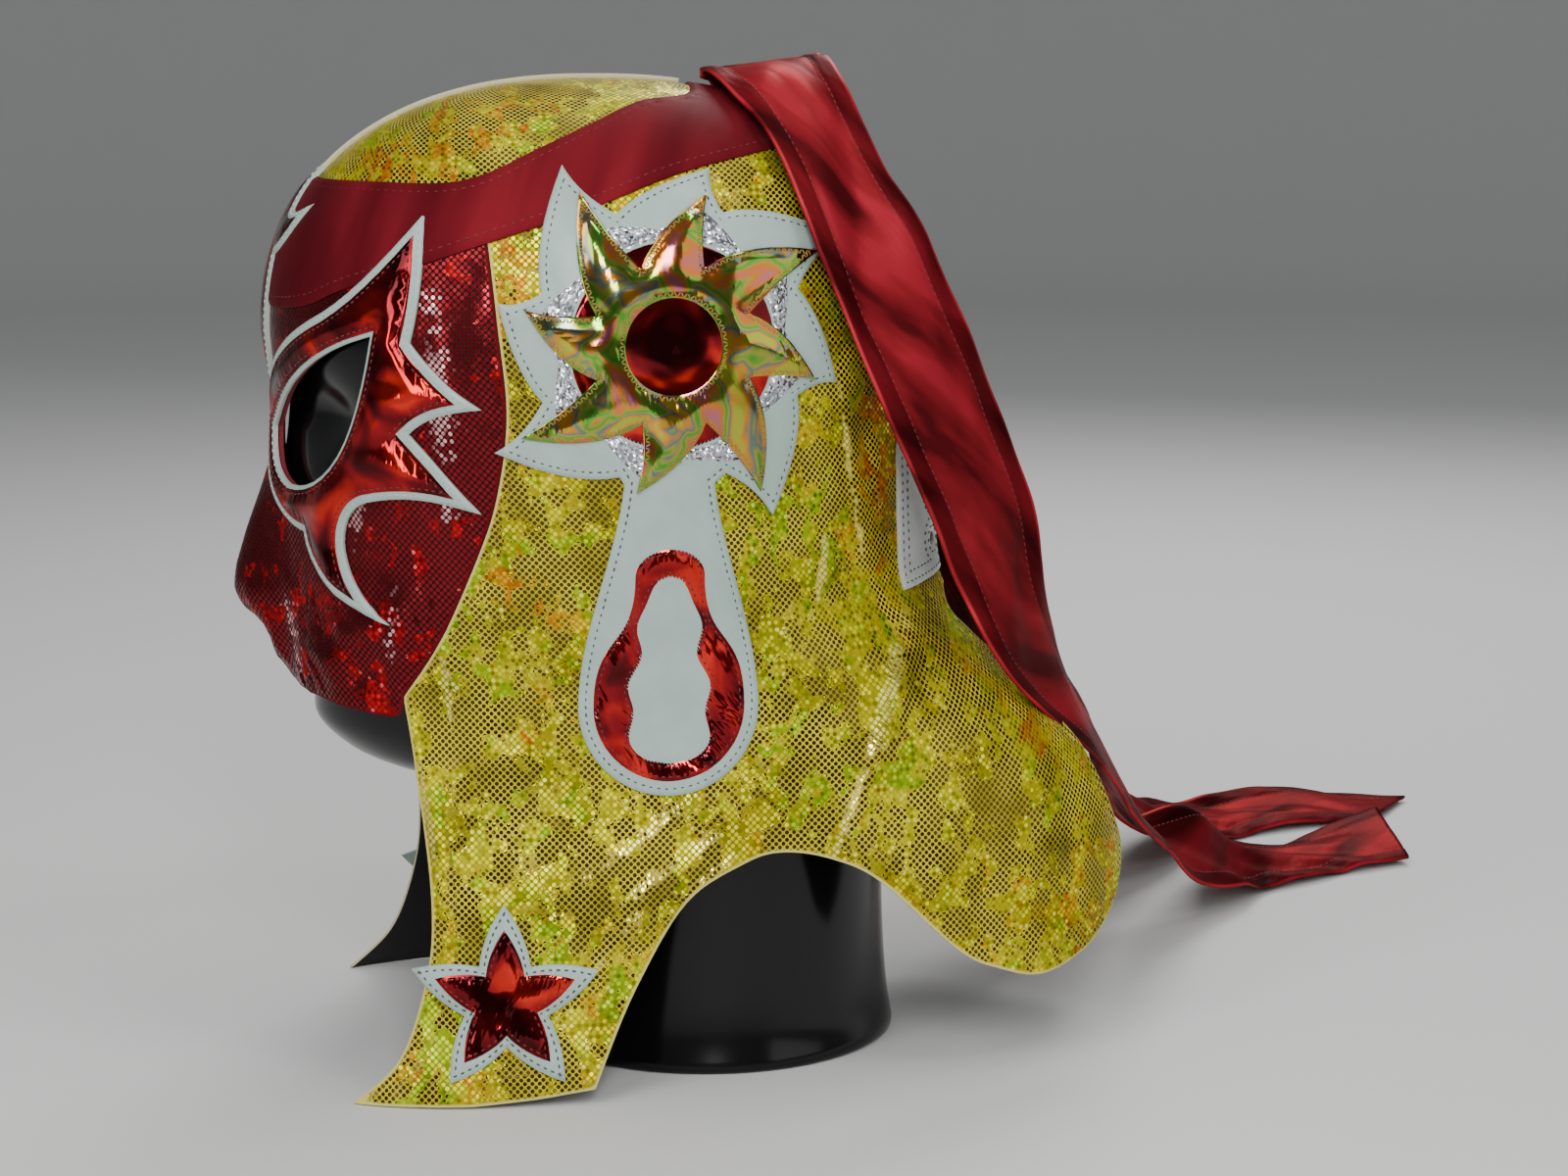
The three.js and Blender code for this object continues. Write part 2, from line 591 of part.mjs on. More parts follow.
const pieces = {
  hood_panel: hoodPanel(),
  lacing_strip: fromSolid(bandLayer.intersect(backPrism(lacingOutline()))),
  eye_trim_vinyl: eyeTrim(vinylLayer, trimOutline(), 0.4),
  eye_trim_foil: eyeTrim(foilLayer, moved(trimOutline(), -TRIM_BORDER), 1.8),
  sun_base_vinyl: fromSolid(sunBase),
  sun_disc_foil: fromSolid(side(foilLayer, circleOutline(SUN.centre, SUN_RED_RADIUS, SUN_SIDES))),
  sun_rays_gold: fromSolid(side(topFoilLayer, rayOutline(SUN_GOLD))
    .subtract(sidePrism(circleOutline(SUN.centre, SUN_HOLE_RADIUS, SUN_SIDES)))),
  sun_teeth_silver: fromSolid(side(foilLayer, rayOutline(SUN_SILVER))
    .subtract(sidePrism(circleOutline(SUN.centre, SILVER_HOLE_RADIUS, SUN_SIDES)))),
  plume_foil: fromSolid(plume.subtract(sidePrism(windowOutline()))),
  star_base_vinyl: fromSolid(side(vinylLayer, rayOutline(STAR_BASE))),
  star_foil: fromSolid(side(foilLayer, rayOutline(STAR_FOIL))),
};

const MATERIALS = {
  gold_cloth: new THREE.MeshStandardMaterial({ color: 0xc9a81c, roughness: 0.35, metalness: 0.6 }),
  red_cloth: new THREE.MeshStandardMaterial({ color: 0x7d1020, roughness: 0.4, metalness: 0.5 }),
  red_satin: new THREE.MeshStandardMaterial({ color: 0x9a1528, roughness: 0.45, metalness: 0 }),
  white_vinyl: new THREE.MeshStandardMaterial({ color: 0xd9ddd8, roughness: 0.4, metalness: 0 }),
  red_foil: new THREE.MeshStandardMaterial({ color: 0xb0101c, roughness: 0.12, metalness: 1 }),
  gold_foil: new THREE.MeshStandardMaterial({ color: 0xc09a2a, roughness: 0.18, metalness: 1 }),
  silver_glitter: new THREE.MeshStandardMaterial({ color: 0xc4c8cc, roughness: 0.3, metalness: 1 }),
  black_gloss: new THREE.MeshStandardMaterial({ color: 0x0b0b0d, roughness: 0.15, metalness: 0 }),
};
const PAIRED = {
  hood_panel: 'gold_cloth',
  lacing_strip: 'white_vinyl',
  eye_trim_vinyl: 'white_vinyl',
  eye_trim_foil: 'red_foil',
  sun_base_vinyl: 'white_vinyl',
  sun_disc_foil: 'red_foil',
  sun_rays_gold: 'gold_foil',
  sun_teeth_silver: 'silver_glitter',
  plume_foil: 'red_foil',
  star_base_vinyl: 'white_vinyl',
  star_foil: 'red_foil',
};

const mask = new THREE.Group();
function place(name, geometry, material) {
  const mesh = new THREE.Mesh(geometry, MATERIALS[material]);
  mesh.name = name;
  mask.add(mesh);
}
place('display_head', displayHead(), 'black_gloss');
place('face_panel', facePanel(), 'red_cloth');
place('headband', fromSolid(bandLayer.intersect(sidePrism(bandOutline()))), 'red_satin');
place('forehead_emblem_vinyl', forehead(vinylLayer, emblemOutline()), 'white_vinyl');
place('forehead_emblem_foil', forehead(foilLayer, moved(emblemOutline(), -EMBLEM_BORDER)), 'red_foil');
place('left_tail', ribbon(LEFT_TAIL), 'red_satin');
place('right_tail', ribbon(RIGHT_TAIL), 'red_satin');
for (const [name, material] of Object.entries(PAIRED)) {
  place(`left_${name}`, pieces[name], material);
  place(`right_${name}`, mirrored(pieces[name]), material);
}

export default mask;
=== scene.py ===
import math

import bpy
import numpy as np
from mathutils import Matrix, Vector, noise
from mathutils.geometry import delaunay_2d_cdt


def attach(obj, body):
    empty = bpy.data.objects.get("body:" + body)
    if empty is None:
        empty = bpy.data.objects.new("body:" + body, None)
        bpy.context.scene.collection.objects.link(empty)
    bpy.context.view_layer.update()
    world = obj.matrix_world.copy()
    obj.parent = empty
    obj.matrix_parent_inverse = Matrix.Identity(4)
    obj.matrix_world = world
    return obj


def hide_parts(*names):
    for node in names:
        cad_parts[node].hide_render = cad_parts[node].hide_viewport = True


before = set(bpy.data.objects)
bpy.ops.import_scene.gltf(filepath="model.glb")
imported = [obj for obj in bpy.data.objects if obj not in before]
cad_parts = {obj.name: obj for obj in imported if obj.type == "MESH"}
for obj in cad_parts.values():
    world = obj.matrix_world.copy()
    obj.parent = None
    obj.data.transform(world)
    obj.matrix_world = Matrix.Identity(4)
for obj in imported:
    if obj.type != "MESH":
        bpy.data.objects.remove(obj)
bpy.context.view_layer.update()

# Lengths are in millimetres up to the making of each mesh. The face looks along -Y, +Z is up and the
# wearer's left is +X. The angle round the head is 0 at the face and pi at the back.
MM = 0.001

# ---------------------------------------------------------------- camera
camera_data = bpy.data.cameras.new("camera")
camera_data.lens = 79.2
camera_data.sensor_width = 36
camera = bpy.data.objects.new("camera", camera_data)
bpy.context.scene.collection.objects.link(camera)
camera.location = (1.0756, -0.1166, 0.3226)
aim = Vector((0, 0.025, 0.141)) - camera.location
camera.rotation_euler = aim.to_track_quat("-Z", "Y").to_euler()
bpy.context.scene.camera = camera

# ---------------------------------------------------------------- forms of the hood and the head
# The walls end at WIDEST, where the dome starts. The other heights, layers and steps keep pieces apart from
# the crown's point, the table and each other.
CROWN = 302.0
UNDER_CROWN = 0.05
WIDEST = 225.0
DOME_POWER = 2.3
HEM_HEIGHT = 0.5
LOWEST_CLOTH = 0.2
TABLE_CLEAR = 0.9
CUT_STEP = 1.6
CLOTH_THICK = 1.7
BAND_THICK = 1.0
LAYER_GAP = 0.1
# Cosine of the turn above which a line's corner is smoothed over
CORNER_COSINE = 0.82
# Pairs of height and value up each form. Front and back are where its level sections meet the midline, half
# is their half width, middle is where they are widest, and the powers say how square they are.
HOOD = {
    "crown": CROWN,
    "front": [(0, -138), (30, -124), (60, -120), (95, -122), (120, -130), (135, -132.5), (160, -132),
              (185, -132.5), (205, -133.5), (225, -135)],
    "back": [(0, 135), (30, 136), (60, 136), (80, 129), (100, 114), (122, 93), (145, 76), (165, 72.5),
             (185, 71.5), (205, 70), (225, 69)],
    "half": [(0, 87), (30, 81), (60, 77), (90, 72.5), (120, 71), (150, 74), (180, 77), (205, 78), (225, 78)],
    "middle": [(0, -20), (100, -20), (170, -25), (225, -35)],
    "front_power": [(0, 4), (60, 3.5), (100, 2.7), (150, 2.3), (225, 2.25)],
    "back_power": [(0, 2.3), (100, 2.3), (125, 1.9), (145, 1.6), (185, 1.6), (225, 2.1)],
    "nose": [(110, 0), (120, 2), (134, 9), (146, 16), (160, 13), (185, 4), (205, 0)],
    "nose_width": 15.0,
}
HEAD = {
    "crown": CROWN - 3.2,
    "front": [(0, -60), (12, -57), (60, -55), (78, -60), (86, -84), (92, -106), (100, -119), (108, -124),
              (116, -123.5), (124, -121.5), (131, -124.5), (137, -123.5), (143, -126), (152, -127.5),
              (185, -128.5), (205, -129.5), (225, -131.5)],
    "back": [(0, 60), (12, 58), (60, 56), (120, 56), (145, 63), (165, 66), (185, 66.5), (205, 66.2),
             (225, 65.6)],
    "half": [(0, 62), (12, 59), (60, 56), (86, 58), (100, 62), (120, 66), (150, 70.3), (180, 73.4),
             (205, 74.6), (225, 74.8)],
    "middle": [(0, 0), (70, 0), (86, -6), (100, -20), (170, -25), (225, -35)],
    "front_power": [(0, 2), (80, 2.1), (120, 2.2), (150, 2.3), (225, 2.25)],
    "back_power": [(0, 2), (125, 1.9), (145, 1.6), (185, 1.6), (225, 2.1)],
    "nose": [(112, 0), (136, 1), (141, 9), (147, 16), (160, 12.5), (185, 3.5), (205, 0)],
    "nose_width": 11.0,
}
EYE_SOCKET = {"side": 33, "height": 203, "width": 17, "tall": 11, "depth": 8}
LIPS = {"height": 131, "width": 22, "tall": 5.5, "depth": 3}


def track(stations, at):
    """Smooth value at a height, through (height, value) stations."""
    place, value = (np.array(column, float) for column in zip(*stations))
    at = np.clip(np.asarray(at, float), place[0], place[-1])
    slope = np.diff(value) / np.diff(place)
    bend = np.concatenate(([slope[0]], (slope[:-1] + slope[1:]) / 2, [slope[-1]]))
    bend[1:-1][slope[:-1] * slope[1:] <= 0] = 0
    i = np.clip(np.searchsorted(place, at, side="right") - 1, 0, len(place) - 2)
    span = place[i + 1] - place[i]
    t = (at - place[i]) / span
    return ((1 + 2 * t) * (1 - t) ** 2 * value[i] + t * (1 - t) ** 2 * span * bend[i]
            + t * t * (3 - 2 * t) * value[i + 1] + t * t * (t - 1) * span * bend[i + 1])


def section(form, z):
    """Middle, reach to the front, reach to the back, half width and both powers of a level section."""
    wall = np.minimum(z, WIDEST)
    rise = np.clip((z - WIDEST) / (form["crown"] - WIDEST), 0, 1)
    shrink = (1 - rise ** DOME_POWER) ** (1 / DOME_POWER)
    middle = track(form["middle"], wall)
    front = (middle - track(form["front"], wall)) * shrink
    back = (track(form["back"], wall) - middle) * shrink
    return (middle, front, back, track(form["half"], wall) * shrink,
            track(form["front_power"], wall), track(form["back_power"], wall))


def form_point(form, angle, z):
    """Point of the hood's or the head's surface."""
    middle, front, back, half, front_power, back_power = section(form, z)
    ahead = np.cos(angle) > 0
    power = 2 / np.where(ahead, front_power, back_power)
    reach = np.where(ahead, -front, back)
    x = half * np.sign(np.sin(angle)) * np.abs(np.sin(angle)) ** power
    y = middle + reach * np.abs(np.cos(angle)) ** power
    nose = track(form["nose"], z) * np.exp(-(x / form["nose_width"]) ** 2)
    y = y - np.where(ahead & (z < WIDEST), nose, 0)
    return np.stack(np.broadcast_arrays(x, y, z), -1)


def unit(vectors):
    return vectors / np.maximum(np.linalg.norm(vectors, axis=-1, keepdims=True), 1e-12)


def form_normal(form, angle, z):
    """Outward direction, from points a little to both sides, above and below. The crown's is straight up."""
    turn, lift = 0.02, 0.4
    top = form["crown"] - 0.1
    across = form_point(form, angle + turn, z) - form_point(form, angle - turn, z)
    higher = form_point(form, angle, np.minimum(z + lift, top))
    up = higher - form_point(form, angle, np.minimum(z, top) - lift)
    normal = unit(np.cross(across, up))
    near_crown = np.clip((z - (form["crown"] - 0.6)) / 0.5, 0, 1)[..., None]
    return unit(normal * (1 - near_crown) + np.array([0, 0, 1.0]) * near_crown)


def on_side(y, z):
    """Angle of a point of the hood's left half, seen from the side."""
    middle, front, back, _, front_power, back_power = section(HOOD, z)
    ahead = y < middle
    share = np.clip(np.where(ahead, (middle - y) / front, (y - middle) / back), 0, 1)
    cosine = share ** (np.where(ahead, front_power, back_power) / 2)
    return np.arccos(np.where(ahead, cosine, -cosine))


def on_front(x, z):
    _, _, _, half, power, _ = section(HOOD, z)
    return np.sign(x) * np.arcsin(np.clip(np.abs(x) / half, 0, 1) ** (power / 2))


def on_back(x, z):
    _, _, _, half, _, power = section(HOOD, z)
    return math.pi - np.arcsin(np.clip(x / half, 0, 1) ** (power / 2))


def on_cheek(across, z):
    """Angle of a point on the plane that faces half forward and half sideways."""
    low, high = np.full(np.shape(z), -0.4), np.full(np.shape(z), 1.7)
    for _ in range(40):
        mid = (low + high) / 2
        point = form_point(HOOD, mid, z)
        beyond = (point[..., 0] + point[..., 1]) * math.sqrt(0.5) > across
        low, high = np.where(beyond, low, mid), np.where(beyond, mid, high)
    return (low + high) / 2


def angle_of(point):
    """Angle of a point close to the hood's surface."""
    x, y, z = point[..., 0], point[..., 1], point[..., 2]
    middle, front, back, half, front_power, back_power = section(HOOD, z)
    ahead = y < middle
    nose = track(HOOD["nose"], z) * np.exp(-(x / HOOD["nose_width"]) ** 2)
    y = y + np.where(ahead & (z < WIDEST), nose, 0)
    power = np.where(ahead, front_power, back_power) / 2
    reach = np.maximum(np.where(ahead, front, back), 1e-6)
    sine = (np.abs(x) / np.maximum(half, 1e-6)) ** power
    cosine = (np.abs(y - middle) / reach) ** power
    return np.sign(x) * np.arctan2(sine, np.where(ahead, cosine, -cosine))


# ---------------------------------------------------------------- flat map of the hood
# The map turns round the crown. Its angle is the share of the section's length, and its radius is the
# length down the dome and then a share of the height.
ARC_LEVELS = np.linspace(0, WIDEST, 46)
ARC_ANGLES = np.linspace(0, math.pi, 361)
arc_grid = form_point(HOOD, ARC_ANGLES[None], ARC_LEVELS[:, None])
arc_steps = np.linalg.norm(np.diff(arc_grid, axis=1), axis=-1)
ARC_SHARES = np.concatenate((np.zeros((len(ARC_LEVELS), 1)), np.cumsum(arc_steps, 1)), 1)
HALF_GIRTH = ARC_SHARES[:, -1]
ARC_SHARES = ARC_SHARES / HALF_GIRTH[:, None]
dome_turn = np.linspace(math.pi / 2, 0, 200)
DOME_HEIGHTS = WIDEST + (CROWN - WIDEST) * np.sin(dome_turn) ** (2 / DOME_POWER)
dome_out = HOOD["half"][-1][1] * np.cos(dome_turn) ** (2 / DOME_POWER)
dome_steps = np.hypot(np.diff(DOME_HEIGHTS), np.diff(dome_out))
DOME_RADII = np.concatenate(([0], np.cumsum(dome_steps)))
WALL_SHARE = 0.6


def shares_at(z):
    """Share of the half girth that each of the fixed angles has reached at every height."""
    level = np.clip(np.minimum(z, WIDEST) / WIDEST * (len(ARC_LEVELS) - 1), 0, len(ARC_LEVELS) - 1.001)
    i = level.astype(int)
    return ARC_SHARES[i] * (1 - (level - i))[:, None] + ARC_SHARES[i + 1] * (level - i)[:, None]


def girth_at(z):
    """Length round half the hood."""
    wall = np.interp(np.minimum(z, WIDEST), ARC_LEVELS, HALF_GIRTH)
    return wall * section(HOOD, z)[3] / np.maximum(track(HOOD["half"], np.minimum(z, WIDEST)), 1e-6)


def map_radius(z):
    dome = np.interp(-z, -DOME_HEIGHTS, DOME_RADII)
    return np.where(z >= WIDEST, dome, DOME_RADII[-1] + (WIDEST - z) * WALL_SHARE)


def to_map(angle, z):
    angle, z = np.broadcast_arrays(np.asarray(angle, float), np.asarray(z, float))
    place = np.abs(angle) / math.pi * (len(ARC_ANGLES) - 1)
    i = np.clip(place.astype(int), 0, len(ARC_ANGLES) - 2)
    shares = shares_at(z)
    rows = np.arange(len(z))
    share = shares[rows, i] * (1 - (place - i)) + shares[rows, i + 1] * (place - i)
    turn = math.pi * share * np.sign(angle)
    radius = map_radius(z)
    return np.stack((radius * np.sin(turn), -radius * np.cos(turn)), -1)


def from_map(flat):
    radius = np.hypot(flat[:, 0], flat[:, 1])
    z = np.where(radius <= DOME_RADII[-1], np.interp(radius, DOME_RADII, DOME_HEIGHTS),
                 WIDEST - (radius - DOME_RADII[-1]) / WALL_SHARE)
    share = np.abs(np.arctan2(flat[:, 0], -flat[:, 1])) / math.pi
    shares = shares_at(z)
    i = np.clip((shares <= share[:, None]).sum(1) - 1, 0, len(ARC_ANGLES) - 2)
    rows = np.arange(len(z))
    low, high = shares[rows, i], shares[rows, i + 1]
    place = i + (share - low) / np.maximum(high - low, 1e-9)
    return np.sign(flat[:, 0]) * ARC_ANGLES[1] * place, z


# ---------------------------------------------------------------- outlines
CURVE_DIVISIONS = 8


def quads(start, curves):
    """Line of quadratic curves, each given by its control point and its end."""
    points = [start]
    t = np.linspace(0, 1, CURVE_DIVISIONS + 1)[1:, None]
    for control, end in curves:
        a, b, c = np.array(points[-1]), np.array(control), np.array(end)
        points += list((1 - t) ** 2 * a + 2 * t * (1 - t) * b + t * t * c)
    return np.array(points, float)


def cubic_spans(points, slopes, divisions):
    """Smooth curve through all points but the first and last. slopes gives a span's end slopes from its
    two points and their neighbours."""
    out = []
    t = np.linspace(0, 1, divisions, endpoint=False)[:, None]
    for a, b, c, d in zip(points, points[1:], points[2:], points[3:]):
        v0, v1 = slopes(a, b, c, d)
        out.append((2 * b - 2 * c + v0 + v1) * t ** 3 + (-3 * b + 3 * c - 2 * v0 - v1) * t ** 2 + v0 * t + b)
    return np.concatenate(out + [points[-2:-1]])


def spline(points):
    p = np.array(points, float)
    p = np.concatenate((p[:1], p, p[-1:]))
    return cubic_spans(p, lambda a, b, c, d: ((c - a) / 2, (d - b) / 2), CURVE_DIVISIONS)


def lengths_along(line):
    return np.concatenate(([0], np.cumsum(np.linalg.norm(np.diff(line, axis=0), axis=1))))


def sample(line, lengths, at):
    """Points of a line at places along it."""
    return np.stack([np.interp(at, lengths, column) for column in line.T], 1)


def even(points, step, closed=True):
    """The same line with points an even step apart, its sharp corners kept."""
    p = np.concatenate((points, points[:1])) if closed else np.asarray(points)
    p = p[np.concatenate(([True], np.linalg.norm(np.diff(p, axis=0), axis=1) > 1e-6))]
    way = unit(np.diff(p, axis=0))
    corners = np.flatnonzero((way[:-1] * way[1:]).sum(1) < CORNER_COSINE) + 1
    stops = [0, *corners, len(p) - 1]
    out = []
    for a, b in zip(stops, stops[1:]):
        run = p[a:b + 1]
        length = lengths_along(run)
        count = max(1, round(length[-1] / step))
        out.append(sample(run, length, np.linspace(0, length[-1], count + 1)[:-1]))
    return np.concatenate(out + ([] if closed else [p[-1:]]))


def segment_distance(points, starts, ends):
    """Distance of every point to the nearest of the segments."""
    best = np.full(len(points), 1e9)
    along = ends - starts
    squared = np.maximum((along ** 2).sum(1), 1e-12)
    for low in range(0, len(starts), 200):
        s, v, q = starts[low:low + 200], along[low:low + 200], squared[low:low + 200]
        gap = points[:, None] - s[None]
        t = np.clip((gap * v).sum(-1) / q, 0, 1)
        best = np.minimum(best, np.linalg.norm(gap - t[..., None] * v, axis=-1).min(1))
    return best


def inside(points, loop):
    x, y = points[:, 0][:, None], points[:, 1][:, None]
    ax, ay = loop[:, 0][None], loop[:, 1][None]
    bx, by = np.roll(loop[:, 0], -1)[None], np.roll(loop[:, 1], -1)[None]
    crosses = (ay > y) != (by > y)
    with np.errstate(divide="ignore", invalid="ignore"):
        at = ax + (y - ay) * (bx - ax) / (by - ay)
    return (crosses & (x < at)).sum(1) % 2 == 1


def moved(outline, distance):
    """Outline moved inward by a distance, with what crosses itself left out."""
    area = np.sum(outline[:, 0] * np.roll(outline[:, 1], -1) - np.roll(outline[:, 0], -1) * outline[:, 1])
    side = 1 if area > 0 else -1
    before = unit(outline - np.roll(outline, 1, 0))
    after = unit(np.roll(outline, -1, 0) - outline)
    inward_before = np.stack((-before[:, 1], before[:, 0]), 1) * side
    inward_after = np.stack((-after[:, 1], after[:, 0]), 1) * side
    share = 1 + (inward_before * inward_after).sum(1, keepdims=True)
    shifted = outline + (inward_before + inward_after) / np.maximum(share, 0.25) * distance
    reach = segment_distance(shifted, outline, np.roll(outline, -1, 0))
    return shifted[(reach > distance * 0.97) & (inside(shifted, outline) == (distance > 0))]


# Side view lines and outlines are pairs of y and z, and front and back views are pairs of x and z. The eye
# and its trim are drawn on the plane that faces half forward.
SEAM = [(-72, 264), (-69, 233), (-66.6, 207), (-69.2, 184), (-74.5, 166), (-86, 139), (-97.8, 120)]
FLAP_FRONT = [(-97.8, 120), (-94, 93), (-90.4, 58), (-93, 36), (-101, 14), (-115, HEM_HEIGHT)]
ARCH = [(-43, 5), (-30.7, 33), (-14.4, 59), (3.4, 70), (15.2, 72.8), (30, 70), (45.5, 62), (70, 39),
        (83.3, 31.9), (97.1, 27.9)]
LOBE = [(111.4, 30.9), (119.4, 35.6), (128, 46), (131, 60), (125.3, 77), (116.7, 93.2), (104, 107.6),
        (88, 124.1), (76, 138), (78, 150)]
BAND_TOP = [(-160, 271), (-112, 272.5), (-78, 273.3), (-55, 282.5), (-40, 289), (-24, 295.5), (-7, 298),
            (-3.6, 308)]
BAND_FOOT = [(-160, 230), (-127.4, 235), (-112.7, 241.6), (-90, 249.5), (-73.1, 255.2), (-42, 265.2),
             (-15, 275), (9.8, 280.7), (36, 285), (80, 290)]
FACE_TOP = [(-160, 251), (-113, 257), (-90, 261), (-72, 264)]
FLAP_HEM = [(-80, 0.8), (-60, 2.6)]
FACE_EDGE = [(-97.8, 120), (-99, 114.5), (-102.3, 113.5), (-115.3, 115), (-130, 117.5), (-170, 122)]
SLIT = {"half": 4.0, "top": 266.0}
LACING = {"inner": 5.2, "outer": 33.0, "foot": 148.0, "top": 262.0, "slant": 3.0}
# Gap between neighbouring panels
GAP = 0.3

EYE = quads((-85, 197), [((-86, 184), (-74, 181)), ((-52, 180), (-41, 202)), ((-35, 214), (-32, 228)),
                         ((-62, 220), (-85, 197))])[:-1]
TRIM = quads((-91, 201), [((-93, 184), (-84, 175)), ((-77, 168), (-66, 167)), ((-62, 150), (-31, 142)),
                          ((-47, 152), (-47, 166)), ((-46, 176), (-36, 179)), ((-20, 183), (-2, 177)),
                          ((-12, 190), (-21, 200)), ((-14, 207), (0, 208)), ((-12, 217), (-19, 227)),
                          ((-14, 245), (-20, 264)), ((-33, 241), (-56, 232)), ((-76, 223), (-88, 213)),
                          ((-91, 208), (-91, 201))])[:-1]
EMBLEM_RIGHT = quads((0, 209), [((5, 221), (10, 236)), ((12, 243), (8, 249)), ((20, 250), (27, 265)),
                                ((17, 260), (9, 263)), ((5, 267), (0, 276))])
EMBLEM = np.concatenate((EMBLEM_RIGHT, (EMBLEM_RIGHT * (-1, 1))[-2:0:-1]))


def rays(centre, count, start, tips, valley, lean=0.0, bow=0.0):
    """Star of curved or straight rays, whose tips lie at the given radii in turn."""
    pitch = 2 * math.pi / count

    def at(radius, turn):
        return (centre[0] + radius * math.sin(turn), centre[1] + radius * math.cos(turn))

    curves = []
    for i in range(count):
        foot, tip = start + i * pitch, tips[i % len(tips)]
        half = (valley + tip) / 2
        curves += [(at(half, foot + pitch * (0.25 + lean / 2 - bow)), at(tip, foot + pitch * (0.5 + lean))),
                   (at(half, foot + pitch * (0.75 + lean / 2 - bow)), at(valley, foot + pitch))]
    return quads(at(valley, start), curves)[:-1]


def circle(centre, radius, sides=48):
    turn = np.linspace(0, 2 * math.pi, sides, endpoint=False)
    return np.stack((centre[0] + radius * np.cos(turn), centre[1] + radius * np.sin(turn)), 1)


SUN_CENTRE = (-18, 226)
SUN = {"count": 8, "start": math.pi / 8, "lean": 0.32, "bow": 0.1}
SUN_BASE = rays(SUN_CENTRE, tips=(60, 52), valley=41, **SUN)
SUN_GOLD = rays(SUN_CENTRE, tips=(51, 44), valley=24, **SUN)
SUN_SILVER = rays(SUN_CENTRE, 8, -0.12, (39,), 33.5)
STAR_CENTRE = (-69, 31)
STAR_BASE = rays(STAR_CENTRE, 5, -math.pi / 5, (29,), 13)
STAR_FOIL = rays(STAR_CENTRE, 5, -math.pi / 5, (21.5,), 9.6)
PLUME = {"centre": (-19, 118), "radius": 27.0, "neck": 13.0}
WINDOW = {"foot": 101.0, "top": 158.0, "wide": 13.5, "narrow": 6.5, "scallops": 3, "wave": 1.5}


def plume(inset, top, arch=0.0):
    """Hanging drop with a narrow neck, drawn in by a distance, with an arched or an open top."""
    y, z = PLUME["centre"]
    r, n = PLUME["radius"] - inset, PLUME["neck"] - inset * 0.6
    t = np.linspace(0, 1, 25)[:, None]
    corners = np.array([(y + n, top), (y + n, top - 22), (y + r, z + 24), (y + r, z)])
    right = ((1 - t) ** 3 * corners[0] + 3 * t * (1 - t) ** 2 * corners[1] + 3 * t * t * (1 - t) * corners[2]
             + t ** 3 * corners[3])
    turn = np.linspace(0, -math.pi, 40)[1:-1]
    foot = np.stack((y + r * np.cos(turn), z + r * np.sin(turn)), 1)
    left = (right * (-1, 1) + (2 * y, 0))[::-1]
    over = np.linspace(math.pi, 0, 24)[1:-1]
    cap = np.stack((y + n * np.cos(over), top + arch * np.sin(over)), 1) if arch else np.zeros((0, 2))
    return np.concatenate((right, foot, left, cap))


def window():
    """Scalloped opening in the plume."""
    t = np.linspace(0, 1, 61)
    width = (WINDOW["wide"] + (WINDOW["narrow"] - WINDOW["wide"]) * t) * np.sqrt(1 - np.abs(2 * t - 1) ** 6)
    width = width + WINDOW["wave"] * np.sin(2 * math.pi * WINDOW["scallops"] * t) * np.sin(math.pi * t)
    height = WINDOW["foot"] + (WINDOW["top"] - WINDOW["foot"]) * t
    right = np.stack((PLUME["centre"][0] + width, height), 1)
    left = np.stack((PLUME["centre"][0] - width, height), 1)[-2:0:-1]
    return np.concatenate((right, left))


# ---------------------------------------------------------------- pieces of cloth cut from the hood's surface
def loop_on(view, outline, step):
    """Closed outline in a view, as angles and heights with points a step apart."""
    line = even(outline, step)
    return np.stack((view(line[:, 0], line[:, 1]), line[:, 1]), 1)


def half_line(line, step):
    """Side view line as angles and heights, with one end point kept where it leaves the hood."""
    line = even(np.array(line, float), step, closed=False)
    angle = on_side(line[:, 0], line[:, 1])
    middle, front, back, *_ = section(HOOD, line[:, 1])
    on_hood = (line[:, 0] > middle - front) & (line[:, 0] < middle + back) & (line[:, 1] < CROWN - 0.2)
    keep = on_hood.copy()
    keep[:-1] |= on_hood[1:]
    keep[1:] |= on_hood[:-1]
    height = np.minimum(line[:, 1], CROWN - 0.4)
    return np.stack((angle, height), 1)[keep]


def both_sides(half):
    """Closed loop from a line that starts and ends on the midline."""
    other = (half * (-1, 1))[::-1]
    return np.concatenate((half, other[1:-1]))


def edge_rows(loops, edges, insets):
    """Rows of points on both sides of every edge: angles, heights and their least distance to an edge."""
    for inset in insets:
        for loop, edge in zip(loops, edges):
            along = unit(np.roll(edge, -1, 0) - np.roll(edge, 1, 0))
            inward = np.cross(form_normal(HOOD, loop[:, 0], loop[:, 1]), along) * inset
            for way in (inward, -inward):
                shifted = edge + way
                shifted[:, 2] = np.clip(shifted[:, 2], HEM_HEIGHT, CROWN - UNDER_CROWN)
                yield angle_of(shifted), shifted[:, 2], inset * 0.9


